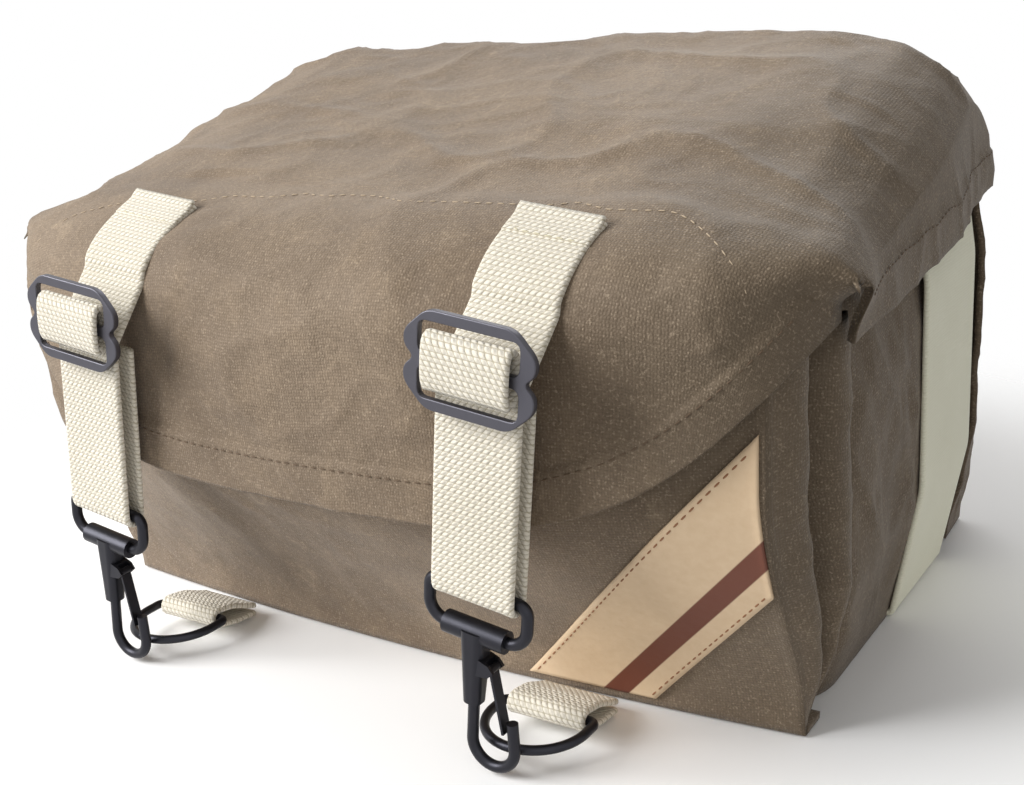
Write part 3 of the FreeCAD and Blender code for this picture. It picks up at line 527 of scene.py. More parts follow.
def sheet_between(name: str, outer: np.ndarray, inner: np.ndarray) -> bpy.types.Object:
    """A closed piece between two grids that run round and meet at their first and last columns.

    Args:
        name: The piece's name.
        outer: Grid of points on its outer face.
        inner: Grid of points on its lining.

    Returns:
        The new object.
    """
    rows, cols = outer.shape[:2]
    points = np.concatenate([outer.reshape(-1, 3), inner.reshape(-1, 3)])
    uv = np.tile(cloth_uv(outer).reshape(-1, 2), (2, 1))
    low = rows * cols
    faces: list[tuple[int, ...]] = []
    for i in range(rows - 1):
        for j in range(cols - 1):
            a, b, c, d = i * cols + j, i * cols + j + 1, (i + 1) * cols + j + 1, (i + 1) * cols + j
            faces.append((a, d, c, b))
            faces.append((a + low, b + low, c + low, d + low))
            if i == rows - 2:
                faces.append((c, d, d + low, c + low))
            if i == 0:
                faces.append((a, b, b + low, a + low))
    obj = build(name, points, faces, uv)
    drop_loose(obj, weld=True)
    return obj


# ---------------------------------------------------------------------------
# Finishes
# ---------------------------------------------------------------------------


def tone(red: int, green: int, blue: int) -> tuple[float, float, float, float]:
    """A colour for a shader from screen values of 0 to 255."""
    def linear(v: float) -> float:
        v /= 255
        return v / 12.92 if v <= 0.04045 else ((v + 0.055) / 1.055) ** 2.4
    return linear(red), linear(green), linear(blue), 1.0


class Tree:
    """Adds and joins the nodes of one node tree."""

    def __init__(self, tree: bpy.types.NodeTree) -> None:
        """Hold the node tree."""
        self.tree = tree

    def add(self, kind: str, inputs: Optional[dict] = None, **settings: object) -> bpy.types.Node:
        """Add a node.

        Args:
            kind: Its type, such as "ShaderNodeMath".
            inputs: A value or a socket for each input, by name or number.
            settings: The node's own settings.

        Returns:
            The node.
        """
        node = self.tree.nodes.new(kind)
        for key, value in settings.items():
            setattr(node, key, value)
        for key, value in (inputs or {}).items():
            if isinstance(value, bpy.types.NodeSocket):
                self.tree.links.new(value, node.inputs[key])
            else:
                node.inputs[key].default_value = value
        return node

    def math(self, operation: str, a: object, b: object = 0.0, clamp: bool = False) -> bpy.types.NodeSocket:
        """The result of a sum on two values or sockets."""
        return self.add("ShaderNodeMath", {0: a, 1: b}, operation=operation, use_clamp=clamp).outputs[0]

    def ramp(self, value: object, low: float, high: float) -> bpy.types.NodeSocket:
        """A value eased from 0 at low to 1 at high."""
        node = self.add("ShaderNodeMapRange", {0: value, 1: low, 2: high}, interpolation_type="SMOOTHSTEP")
        return node.outputs[0]

    def mix(self, share: object, a: object, b: object) -> bpy.types.NodeSocket:
        """A colour between two others."""
        node = self.add("ShaderNodeMix", {0: share}, data_type="RGBA")
        for index, value in ((6, a), (7, b)):
            if isinstance(value, bpy.types.NodeSocket):
                self.tree.links.new(value, node.inputs[index])
            else:
                node.inputs[index].default_value = value
        return node.outputs[2]


@cache
def weave_group() -> bpy.types.NodeTree:
    """A shared effect: plain weave seen from a place on the cloth, as a height and a share of shadow."""
    group = bpy.data.node_groups.new("plain_weave", "ShaderNodeTree")
    face = group.interface
    face.new_socket("Place", in_out="INPUT", socket_type="NodeSocketVector")
    for name, value in (("Pitch", 0.0008), ("Row", 0.0008), ("Turn", 0.0)):
        face.new_socket(name, in_out="INPUT", socket_type="NodeSocketFloat").default_value = value
    face.new_socket("Height", in_out="OUTPUT", socket_type="NodeSocketFloat")
    face.new_socket("Gap", in_out="OUTPUT", socket_type="NodeSocketFloat")
    tree = Tree(group)
    given = group.nodes.new("NodeGroupInput")
    split = tree.add("ShaderNodeSeparateXYZ", {0: given.outputs["Place"]})
    u = tree.math("DIVIDE", split.outputs[0], given.outputs["Pitch"])
    v = tree.math("DIVIDE", split.outputs[1], given.outputs["Row"])
    shifted = tree.math("ADD", u, tree.math("MULTIPLY", given.outputs["Turn"], v))
    warp = tree.math("ABSOLUTE", tree.math("SINE", tree.math("MULTIPLY", shifted, math.pi)))
    weft = tree.math("ABSOLUTE", tree.math("SINE", tree.math("MULTIPLY", v, math.pi)))
    over = tree.math("SINE", tree.math("MULTIPLY", shifted, math.tau))
    under = tree.math("SINE", tree.math("MULTIPLY", v, math.pi))
    cross = tree.math("MULTIPLY", over, under)
    base = tree.math("MULTIPLY", warp, weft)
    height = tree.math("ADD", tree.math("MULTIPLY", base, 0.75), tree.math("MULTIPLY", cross, 0.25))
    gap = tree.math("SUBTRACT", 1.0, tree.ramp(base, 0.0, 0.3))
    result = group.nodes.new("NodeGroupOutput")
    group.links.new(height, result.inputs["Height"])
    group.links.new(gap, result.inputs["Gap"])
    return group


def place_weave(tree: Tree, pitch: float, row: float, turn: float) -> bpy.types.Node:
    """The weave group at a size, read from the cloth's own places.

    Args:
        tree: The material's nodes.
        pitch: Distance between ribs across the cloth.
        row: Distance between picks along it.
        turn: How far each pick is shifted along the last.

    Returns:
        The group's node.
    """
    place = tree.add("ShaderNodeUVMap", uv_map="cloth").outputs[0]
    node = tree.add("ShaderNodeGroup", node_tree=weave_group())
    for key, value in (("Pitch", pitch), ("Row", row), ("Turn", turn)):
        node.inputs[key].default_value = value
    tree.tree.links.new(place, node.inputs["Place"])
    return node


@dataclass(frozen=True)
class Finish:
    """What every finish has: its name and a shader to start from."""

    name: str

    def start(self) -> tuple[bpy.types.Material, Tree, bpy.types.Node]:
        """A material with a Principled shader alone."""
        material = bpy.data.materials.new(self.name)
        material.use_nodes = True
        shader = material.node_tree.nodes["Principled BSDF"]
        return material, Tree(material.node_tree), shader


@dataclass(frozen=True)
class Canvas(Finish):
    """Waxed cotton canvas: mottled brown with a fine weave and pale rubbed creases."""

    pitch: float = 0.0009

    def make(self) -> bpy.types.Material:
        """The canvas material."""
        material, tree, shader = self.start()
        place = tree.add("ShaderNodeTexCoord").outputs["Object"]
        cloud = tree.add("ShaderNodeTexNoise", {"Vector": place, "Scale": 14.0, "Detail": 5.0, "Roughness": 0.6})
        patch = tree.add("ShaderNodeTexNoise", {"Vector": place, "Scale": 60.0, "Detail": 6.0, "Roughness": 0.7})
        grain = tree.add("ShaderNodeTexNoise", {"Vector": place, "Scale": 900.0, "Detail": 3.0, "Roughness": 0.8})
        crease = tree.add("ShaderNodeTexNoise", {"Vector": place, "Scale": 26.0, "Detail": 3.0, "Roughness": 0.5,
                                                 "Distortion": 1.4})
        thin = tree.math("ABSOLUTE", tree.math("SUBTRACT", crease.outputs[0], 0.5))
        line = tree.math("SUBTRACT", 1.0, tree.ramp(thin, 0.0, 0.018))
        line = tree.math("MULTIPLY", line, tree.ramp(patch.outputs[0], 0.45, 0.68))
        base = tree.mix(tree.ramp(cloud.outputs[0], 0.3, 0.7), tone(108, 92, 75), tone(134, 117, 98))
        rubbed = tree.math("MULTIPLY", tree.ramp(patch.outputs[0], 0.42, 0.72), 0.4)
        base = tree.mix(rubbed, base, tone(150, 131, 108))
        base = tree.mix(tree.math("MULTIPLY", line, 0.3), base, tone(184, 164, 138))
        # Darken the canvas towards the bag's right end with the stored attribute: painted shade from light that
        # falls from the left, mixed with some dirt.
        waxed = tree.add("ShaderNodeAttribute", attribute_name="waxed").outputs["Fac"]
        base = tree.mix(tree.math("MULTIPLY", waxed, 0.6, clamp=True), base, tone(78, 68, 53))
        dark = tree.math("MULTIPLY", tree.ramp(grain.outputs[0], 0.4, 0.62), 0.34)
        base = tree.mix(dark, base, tone(84, 70, 54))
        fleck = tree.add("ShaderNodeTexNoise", {"Vector": place, "Scale": 1500.0, "Detail": 2.0})
        pale = tree.math("MULTIPLY", tree.ramp(fleck.outputs[0], 0.54, 0.7), 0.4)
        base = tree.mix(pale, base, tone(176, 158, 136))
        weave = place_weave(tree, self.pitch, self.pitch, 0.0)
        base = tree.mix(tree.math("MULTIPLY", weave.outputs["Gap"], 0.32), base, tone(62, 51, 38))
        tree.tree.links.new(base, shader.inputs["Base Color"])
        rough = tree.math("ADD", 0.62, tree.math("MULTIPLY", patch.outputs[0], 0.22))
        tree.tree.links.new(rough, shader.inputs["Roughness"])
        shader.inputs["Specular IOR Level"].default_value = 0.28
        shader.inputs["Sheen Weight"].default_value = 0.12
        relief_height = tree.math("ADD", tree.math("MULTIPLY", weave.outputs["Height"], 0.00012),
                                  tree.math("MULTIPLY", grain.outputs[0], 0.00016))
        relief_height = tree.math("ADD", relief_height, tree.math("MULTIPLY", patch.outputs[0], 0.0012))
        bump = tree.add("ShaderNodeBump", {"Strength": 0.8, "Distance": 1.0, "Height": relief_height})
        tree.tree.links.new(bump.outputs[0], shader.inputs["Normal"])
        return material


@dataclass(frozen=True)
class Webbing(Finish):
    """Cotton webbing: its yarn, the shade between yarns, rib pitch, pick spacing, rib height and open share."""

    pale: Shade
    dark: Shade
    pitch: float
    row: float
    depth: float
    gap: float

    def make(self) -> bpy.types.Material:
        """The webbing material."""
        material, tree, shader = self.start()
        place = tree.add("ShaderNodeTexCoord").outputs["Object"]
        fuzz = tree.add("ShaderNodeTexNoise", {"Vector": place, "Scale": 1400.0, "Detail": 3.0})
        soil = tree.add("ShaderNodeTexNoise", {"Vector": place, "Scale": 45.0, "Detail": 4.0})
        weave = place_weave(tree, self.pitch, self.row, 0.5)
        base = tree.mix(tree.math("MULTIPLY", soil.outputs[0], 0.35), self.pale, self.dark)
        base = tree.mix(tree.math("MULTIPLY", weave.outputs["Gap"], self.gap), base, self.dark)
        base = tree.mix(tree.math("MULTIPLY", tree.ramp(fuzz.outputs[0], 0.4, 0.7), 0.12), base, self.dark)
        tree.tree.links.new(base, shader.inputs["Base Color"])
        shader.inputs["Roughness"].default_value = 0.85
        shader.inputs["Specular IOR Level"].default_value = 0.2
        shader.inputs["Sheen Weight"].default_value = 0.2
        height = tree.math("ADD", tree.math("MULTIPLY", weave.outputs["Height"], self.depth),
                           tree.math("MULTIPLY", fuzz.outputs[0], self.depth * 0.25))
        bump = tree.add("ShaderNodeBump", {"Strength": 0.9, "Distance": 1.0, "Height": height})
        tree.tree.links.new(bump.outputs[0], shader.inputs["Normal"])
        return material


@dataclass(frozen=True)
class LabelCloth(Finish):
    """Tan label cloth with one plain stripe along it."""

    dark: Shade
    pale: Shade
    stripe: Shade
    stripe_place: float = -0.0062
    stripe_half: float = 0.003

    def make(self) -> bpy.types.Material:
        """The label material."""
        material, tree, shader = self.start()
        cloth = tree.add("ShaderNodeUVMap", uv_map="cloth").outputs[0]
        uv = tree.add("ShaderNodeSeparateXYZ", {0: cloth}).outputs[0]
        off = tree.math("ABSOLUTE", tree.math("SUBTRACT", uv, self.stripe_place))
        soft = 0.0002
        stripe = tree.math("SUBTRACT", 1.0, tree.ramp(off, self.stripe_half - soft, self.stripe_half + soft))
        place = tree.add("ShaderNodeTexCoord").outputs["Object"]
        grain = tree.add("ShaderNodeTexNoise", {"Vector": place, "Scale": 420.0, "Detail": 4.0})
        base = tree.mix(grain.outputs[0], self.dark, self.pale)
        base = tree.mix(stripe, base, self.stripe)
        tree.tree.links.new(base, shader.inputs["Base Color"])
        shader.inputs["Roughness"].default_value = 0.62
        bump = tree.add("ShaderNodeBump", {"Strength": 0.5, "Distance": 0.0002, "Height": grain.outputs[0]})
        tree.tree.links.new(bump.outputs[0], shader.inputs["Normal"])
        return material


@dataclass(frozen=True)
class Metal(Finish):
    """Dark coated metal with a slight unevenness."""

    colour: Shade
    rough: float

    def make(self) -> bpy.types.Material:
        """The metal material."""
        material, tree, shader = self.start()
        place = tree.add("ShaderNodeTexCoord").outputs["Object"]
        spots = tree.add("ShaderNodeTexNoise", {"Vector": place, "Scale": 260.0, "Detail": 4.0})
        shader.inputs["Base Color"].default_value = self.colour
        shader.inputs["Metallic"].default_value = 0.75
        level = tree.math("ADD", self.rough - 0.08, tree.math("MULTIPLY", spots.outputs[0], 0.16))
        tree.tree.links.new(level, shader.inputs["Roughness"])
        bump = tree.add("ShaderNodeBump", {"Strength": 0.12, "Distance": 0.0002, "Height": spots.outputs[0]})
        tree.tree.links.new(bump.outputs[0], shader.inputs["Normal"])
        return material


@dataclass(frozen=True)
class Plain(Finish):
    """One even colour."""

    colour: Shade
    rough: float

    def make(self) -> bpy.types.Material:
        """The plain material."""
        material, _, shader = self.start()
        shader.inputs["Base Color"].default_value = self.colour
        shader.inputs["Roughness"].default_value = self.rough
        return material


# ---------------------------------------------------------------------------
# The satchel
# ---------------------------------------------------------------------------


class Finishes:
    """Every finish of the satchel, made once."""

    def __init__(self) -> None:
        """Make each material."""
        self.canvas = Canvas("waxed_canvas").make()
        self.strap = Webbing("cotton_webbing", tone(236, 230, 217), tone(158, 147, 120),
                             0.0019, 0.0013, 0.00035, 0.75).make()
        self.wide = Webbing("side_webbing", tone(247, 246, 226), tone(216, 213, 186),
                            0.0012, 0.0009, 0.00012, 0.3).make()
        self.tan = LabelCloth("label_tan", tone(203, 175, 141), tone(217, 193, 161),
                              tone(104, 56, 38)).make()
        self.thread = Plain("seam_thread", tone(172, 154, 130), 0.8).make()
        self.dark_thread = Plain("hem_thread", tone(92, 74, 56), 0.8).make()
        self.red_thread = Plain("label_thread", tone(140, 96, 66), 0.8).make()
        self.pale_thread = Plain("webbing_thread", tone(196, 188, 160), 0.8).make()
        self.satin = Metal("buckle_satin", tone(84, 83, 90), 0.42).make()
        self.black = Metal("black_wire", tone(44, 44, 50), 0.38).make()
        self.tape = Plain("zip_tape", tone(58, 48, 36), 0.9).make()
        self.board = Plain("base_board", tone(52, 46, 38), 0.9).make()


@dataclass
class SubAssembly:
    """The steps that every sub-assembly shares."""

    finishes: Finishes

    def dress(self, obj: bpy.types.Object, material: bpy.types.Material, body: Optional[str] = None,
              nodes: Sequence[str] = ()) -> bpy.types.Object:
        """Give a piece its finish, its body and the nodes it stands for.

        Args:
            obj: The piece.
            material: Its finish.
            body: The body it rides, or None, which leaves it unattached.
            nodes: The nodes it stands for.

        Returns:
            The same piece.
        """
        obj.data.materials.clear()
        obj.data.materials.append(material)
        # Canvas pieces get painted shade and dirt that darken them towards the bag's right end.
        if material == self.finishes.canvas:
            self.wax(obj)
        if body:
            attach(obj, body)
        if nodes:
            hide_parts(*nodes)
        return obj

    def wax(self, obj: bpy.types.Object) -> None:
        """Store, for each part of a canvas piece, a darkening towards the bag's right end: painted shade from
        light that falls from the left, together with some dirt. The bag's right end is the darkest.
        """
        across = np.array([v.co.x for v in obj.data.vertices]) / MM
        layer = obj.data.attributes.new("waxed", "FLOAT", "POINT")
        # Painted shade and dirt: none left of x = 60 mm, full from x = 145 mm.
        layer.data.foreach_set("value", smooth((across - 60) / 85).astype(np.float32))

    def declare(self, obj: bpy.types.Object, outer: np.ndarray, held: str, rests: Sequence[str],
                skip: Optional[np.ndarray] = None, pieces: Sequence[bpy.types.Object] = ()) -> None:
        """Args:
            obj: The sheet; not used.
            outer: Grid of points on its outer face.
            held: How it keeps its shape; not used.
            rests: What it lies on; not used.
            skip: True for each cell of the grid that is left out.
            pieces: Others that move with it; not used.
        """
        a, b = outer[1:, 1:] - outer[:-1, :-1], outer[1:, :-1] - outer[:-1, 1:]
        cells = np.linalg.norm(np.cross(a, b), axis=2) / 2
        if skip is not None:
            cells = np.where(skip, 0, cells)

    def web(self, name: str, path: Sequence[Sequence[float]], across: Sequence[float], width: float,
            thick: float, body: Optional[str], nodes: Sequence[str] = (),
            material: Optional[bpy.types.Material] = None) -> bpy.types.Object:
        """A length of webbing along a path, ridden by a body.

        Args:
            name: The piece's name.
            path: Points along its middle.
            across: Unit vector across it.
            width: Its width.
            thick: Its thickness.
            body: The body it rides, or None, which leaves it unattached.
            nodes: The nodes it stands for.
            material: Its finish, if it isn't the strap's.

        Returns:
            The new object.
        """
        line = resample(path, 1.2)
        soft = eased(line, np.array((0.25, 0.5, 0.25)))
        soft[0], soft[-1] = line[0], line[-1]
        sides = np.tile(np.array(across, float), (len(soft), 1))
        obj = band(name, soft, sides, width, thick)
        return self.dress(obj, material or self.finishes.strap, body, nodes)


@dataclass
class Compartment(SubAssembly):
    """The main compartment with its base."""

    def height_at(self, p: np.ndarray) -> float:
        """Relief of the compartment's walls: upright gathers at the sides."""
        side = smooth((abs(p[0]) - 112) / 18)
        gather = folds(p, 17, 6.5, (1, 1, 3.2))
        slant = 3.4 * folds((p[0], p[1] + 0.35 * p[2], p[2]), 21, 9.5, (1, 1, 4.0))
        height = (0.8 + 1.3 * side) * gather + side * slant
        free = smooth((abs(p[1] - 20.5) - 26) / 6)
        height = height * (0.25 + 0.75 * free) if side > 0 else height
        height *= smooth(p[2] / 20) * smooth((172 - p[2]) / 14)
        return float(np.clip(height - 0.3, -4.0, 0.4 + 2.6 * side * free))

    def build(self) -> bpy.types.Object:
        """The main compartment with its base."""
        count = 301
        rows, inner = [], []
        for share in (0.004, 0.3, 0.6, 0.85, 0.97):
            ring = BODY.outline(0, 0, count) * share
            rows.append([(x, y, 0.0) for x, y in ring])
            inner.append([(x, y, 2.6) for x, y in BODY.outline(0, -2.6, count) * share])
        for share in np.linspace(0, 1, 60):
            ring = BODY.outline(BODY.height * share, 0, count)
            lined = BODY.outline(BODY.height * share, -2.6, count)
            rim = [min(BODY.height, LID.top(x, y) - 5.2, LID.top(x, y + 6) - 5.2) for x, y in ring]
            rows.append([(x, y, top * share) for (x, y), top in zip(ring, rim)])
            inner.append([(x, y, max(top * share, 2.6)) for (x, y), top in zip(lined, rim)])
        outer, lining = np.array(rows), np.array(inner)
        push = np.array([[self.height_at(p) if p[2] > 0.5 else 0.0 for p in row] for row in outer])
        flat = lining - outer
        flat[:, :, 2] = 0
        length = np.maximum(np.linalg.norm(flat, axis=2, keepdims=True), 1e-6)
        shift = -flat / length * push[:, :, None]
        outer, lining = outer + shift, lining + shift
        obj = sheet_between("main_canvas", outer, lining)
        self.dress(obj, self.finishes.canvas, "bag", ("main_body",))
        self.declare(obj, outer, "folded", ("floor",))
        return obj


@dataclass
class Pocket(SubAssembly):
    """A sewn-on pocket with its mouth at the top."""

    name: str
    node: str
    half: float
    height: float
    skin: Callable[[float, float], float]
    wall: float
    pleat: float

    def build(self) -> bpy.types.Object:
        """Make the pocket's face, its pleated sides and its floor.

        Returns:
            The new object.
        """
        name, node, half, height = self.name, self.node, self.half, self.height
        skin, wall, pleat = self.skin, self.wall, self.pleat
        face = np.linspace(-half, half, 101)
        sides = np.linspace(0, 1, 22)[1:]
        rows = []
        levels = [(0.0, b) for b in np.linspace(0.04, 1, 10)[:-1]]
        levels += [(z, 1.0) for z in np.linspace(0.0, height, 58)]
        sign = -1 if wall < 0 else 1
        for z, b in levels:
            front = [(x, wall + (skin(x, z) - wall) * b, z + 0.3) for x in face]
            edge = front[-1][1]
            deep = pleat * smooth(z / 26) * b
            out = BODY.half(z) - half
            right = []
            for s in sides:
                wave = 1.5 * math.exp(-((s - 0.55) / 0.09) ** 2) - 0.8 * abs(math.sin(math.pi * s / 0.55))
                if b < 1:
                    foot = skin(half, 0.0)
                    right.append((half + out * s, foot + (wall - foot) * s, 0.3 - (1 - b)))
                else:
                    right.append((half + out * s - deep * wave, edge + (wall - edge) * s, z + 0.3))
            rows.append([(-x, y, q) for x, y, q in reversed(right)] + front + right)
        outer = np.array(rows)
        if sign < 0:
            outer = outer[:, ::-1]
        middle = grid_normals(outer)[len(rows) // 2, outer.shape[1] // 2]
        if middle[1] * sign < 0:
            outer = outer[:, ::-1]

        def height_at(p: np.ndarray) -> float:
            rim = smooth((height - p[2]) / 10)
            on_face = abs(p[1] - skin(min(abs(p[0]), half), p[2])) < 4
            seam = 1.5 * math.exp(-((abs(p[0]) - half + 0.4) / 1.5) ** 2) if on_face else 0.0
            soft = 1.5 * folds(p, 46, 12.0, (1.3, 1, 1)) + 0.8 * folds(p, 19, 4.0, (1, 1, 1.4))
            soft += 0.3 * folds(p, 8, 7.0)
            calm = 0.25 if 40 < p[0] < 134 and p[2] < 100 and sign < 0 else 1.0
            return min((soft * calm * rim - 0.5) * smooth(p[2] / 9), 0.9) + seam * smooth((p[2] - 4) / 12)

        outer = relief(outer, height_at)
        outer[:, :, 2] = np.maximum(outer[:, :, 2], 0.1)
        skip = np.zeros((outer.shape[0] - 1, outer.shape[1] - 1), bool)
        skip[:9, :len(sides)] = True
        skip[:9, -len(sides):] = True
        obj = sheet(name, outer, 2.2, skip)
        self.dress(obj, self.finishes.canvas, "bag", (node,))
        self.declare(obj, outer, "folded", ("main_canvas",), skip)
        return obj


@dataclass
class SideWebbing(SubAssembly):
    """The wide webbing up each side and under the base."""

    width: float = 50.8
    thick: float = 2.0
    middle: float = 20.5
    top: float = 150.0
    gap: float = 1.2

    def build(self) -> None:
        """Lay the webbing down one side, under the base and up the other."""
        levels = np.linspace(self.top, self.gap, 50)
        right = [(BODY.half(z) + self.gap, self.middle, z) for z in levels]
        left = [(-BODY.half(z) - self.gap, self.middle, z) for z in reversed(levels)]
        self.web("side_band", right + left, (0, 1, 0), self.width, self.thick, "bag", ("body_webbing",),
                 self.finishes.wide)


@dataclass
class Lid(SubAssembly):
    """The folding lid, its sides and the front flap in one sheet of canvas."""

    whole: np.ndarray = field(init=False)
    wing: int = field(init=False)
    core: np.ndarray = field(init=False)
    core_rows: int = field(init=False)
    core_normal: np.ndarray = field(init=False)
    crown_x: np.ndarray = field(init=False)

    def height_at(self, p: np.ndarray) -> float:
        """Relief of the lid and flap in millimetres."""
        soft = 4.4 * folds(p, 64, 3.1, (1.5, 1, 1)) + 1.4 * folds(p, 27, 8.4, (1.3, 1, 1))
        soft += 0.35 * folds(p, 11, 1.2)
        flap = smooth((-LID.front - p[1]) / 6)
        return float(np.clip(soft, -2.4 + 1.7 * flap, 5.0))

    def build(self) -> bpy.types.Object:
        """The lid's top, its sides and the front flap in one sheet."""
        edge, flat = LID.flap_half, 110
        crown = np.concatenate([np.linspace(-edge, -flat, 22)[:-1], np.linspace(-flat, flat, 111),
                                np.linspace(flat, edge, 22)[1:]])
        sides = np.linspace(0, 1, 15)[1:]
        rows: list[list[tuple[float, float, float]]] = []
        lid_rows = list(np.linspace(LID.back, -LID.front, 82))
        for y in lid_rows:
            tuck = 1 - 6.5 / LID.half * smooth((y + 20) / 80)
            top = [(x * tuck, y, LID.top(x, y)) for x in crown]
            edge = top[0][2]
            side = LID.half - 6.5 * smooth((y + 20) / 80)
            skirt = [(side - 1.2 * (1 - s) ** 2, y, edge + (LID.hem(y) - edge) * s) for s in sides]
            rows.append([(-x, y, z) for x, y, z in reversed(skirt)] + top + skirt)
        count, wing = len(crown), len(sides)
        for share in np.concatenate([np.linspace(0.008, 0.8, 54), np.linspace(0.8, 1.0, 20)[1:]]):
            line = [(x, *LID.flap(x, share)) for x in crown]
            rows.append([line[0]] * wing + line + [line[-1]] * wing)
        outer = np.array(rows, float)
        skip = np.zeros((outer.shape[0] - 1, outer.shape[1] - 1), bool)
        skip[len(lid_rows) - 1:, :wing] = True
        skip[len(lid_rows) - 1:, wing + count - 1:] = True
        core = outer[:, wing:wing + count]
        normal = grid_normals(core)
        if normal[40, count // 2][2] < 0:
            normal = -normal
        lift = np.array([[self.height_at(p) for p in row] for row in core])
        run = np.array([[float(np.linalg.norm(core[-1, j] - core[i, j])) for j in range(count)]
                        for i in range(core.shape[0])])
        hem = smooth((15.0 - run) / 1.2) * (np.arange(core.shape[0])[:, None] >= len(lid_rows))
        calm = 1 - 0.5 * smooth((26 - run) / 16) * (np.arange(core.shape[0])[:, None] >= len(lid_rows))
        for k in range(2):
            x0 = 73 - 142 * k
            near = np.exp(-((core[:, :, 0] - x0) / 20) ** 2)
            near = near * (np.arange(core.shape[0])[:, None] >= len(lid_rows) - 4)
            lift = lift * (1 - 0.75 * near) - 0.6 * near
        edge = smooth((143.5 - np.abs(core[:, :, 0])) / 10)
        lift = lift * calm * (0.35 + 0.65 * edge) + 0.9 * hem
        outer[:, wing:wing + count] = core + normal * lift[:, :, None]
        for j, col in ((wing, range(wing)), (wing + count - 1, range(wing + count, outer.shape[1]))):
            for i in range(len(lid_rows)):
                for c in col:
                    p = outer[i, c]
                    s = abs(c - j) / wing
                    band_height = smooth((p[2] - LID.hem(p[1]) - 13) / -1.2) * 0.8
                    sign = 1 if p[0] > 0 else -1
                    ripple = 2.6 * folds(p, 48, 5.0, (1, 1, 2.2)) + 0.5 * folds(p, 20, 2.0, (1, 1, 1.6))
                    outer[i, c, 0] += sign * (max(ripple, -1.2) * smooth(s * 1.5) + band_height)
        for i in range(outer.shape[0]):
            near = math.exp(-((i - len(lid_rows)) / (9.0 if i < len(lid_rows) else 12.0)) ** 2)
            for c in range(outer.shape[1]):
                if c < wing or c >= wing + count:
                    share = 1 - (wing - c if c < wing else c - wing - count + 1) / wing
                    pull = smooth(share) if i < len(lid_rows) else 0.0
                else:
                    pull = smooth((abs(outer[i, c, 0]) - 122) / 21)
                outer[i, c] += np.array([math.copysign(6.5, outer[i, c, 0]), -3.5, 3.0]) * near * pull
        oriented = outer if grid_normals(outer)[40, wing + count // 2][2] > 0 else outer[:, ::-1]
        mirrored = skip if oriented is outer else skip[:, ::-1]
        obj = sheet("lid_and_flap", oriented, 2.4, mirrored)
        self.dress(obj, self.finishes.canvas, None, ("lid_panel", "flap_panel"))
        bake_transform(obj)
        self.declare(obj, oriented, "folded", ("main_canvas", "front_pocket_canvas"), mirrored)
        self.whole, self.wing = outer, wing
        self.core, self.core_rows, self.core_normal = outer[:, wing:wing + count], len(lid_rows), normal
        self.crown_x = crown
        return obj

    def spot(self, x: float, row: float) -> tuple[np.ndarray, np.ndarray]:
        """A place on the finished lid or flap.

        Args:
            x: Distance across the bag.
            row: The grid's row, which may lie between two.

        Returns:
            The place and the cloth's normal there.
        """
        j = int(np.clip(np.searchsorted(self.crown_x, x), 1, len(self.crown_x) - 1))
        t = (x - self.crown_x[j - 1]) / (self.crown_x[j] - self.crown_x[j - 1])
        i = int(np.clip(math.floor(row), 0, self.core.shape[0] - 2))
        f = row - i
        near = (1 - t) * self.core[i, j - 1] + t * self.core[i, j]
        far = (1 - t) * self.core[i + 1, j - 1] + t * self.core[i + 1, j]
        return (1 - f) * near + f * far, self.core_normal[i, j]

    def seams(self) -> None:
        """The lid's stitched seam and the stitch line along the flap's hem."""
        seam = [(-120, 131), (-112, 139), (-98, 142.5), (-70, 145), (-36, 146.5), (60, 147), (105, 146.2),
                (118, 142), (126, 136), (130, 129)]
        rows: list[tuple[np.ndarray, np.ndarray]] = []
        for x, z in resample(seam, 1.5):
            column = [abs(self.spot(x, r)[0][2] - z) for r in range(self.core_rows, self.core.shape[0])]
            rows.append(self.spot(x, self.core_rows + int(np.argmin(column))))
        line = np.array([p + n * 0.15 for p, n in rows])
        line = eased(line, np.ones(7) / 7)
        row = [(line, np.array([n for _, n in rows]))]
        self.dress(stitches("lid_seam", row, 2.0, 1.7, 0.42), self.finishes.thread, "flap")
        lines = []
        for inset in (12.2,):
            points, normals = [], []
            for j in range(3, len(self.crown_x) - 3):
                column = self.core[self.core_rows:, j]
                run = np.linalg.norm(column - column[-1], axis=1)
                i = int(np.argmin(np.abs(run - inset)))
                points.append(column[i] + self.core_normal[self.core_rows + i, j] * 0.2)
                normals.append(self.core_normal[self.core_rows + i, j])
            path = np.array(points)
            path = eased(path, np.ones(5) / 5)
            lines.append((path, np.array(normals)))
        edges = []
        last = self.whole.shape[1]
        for sign, cols in ((-1, range(self.wing)), (1, range(last - self.wing, last))):
            points = []
            for i in range(self.core_rows - 2):
                column = self.whole[i, list(cols)]
                above = np.abs(column[:, 2] - LID.hem(column[0, 1]) - 11.5)
                points.append(column[int(np.argmin(above))] + (sign * 0.2, 0, 0))
            path = np.array(points)
            path = eased(path, np.ones(5) / 5)
            edges.append((path, np.tile(np.array([float(sign), 0.0, 0.0]), (len(path), 1))))
        self.dress(stitches("side_seam", edges, 1.9, 1.3, 0.45), self.finishes.dark_thread, "lid")
        self.dress(stitches("hem_seam", lines, 1.9, 1.3, 0.45), self.finishes.dark_thread, "flap")


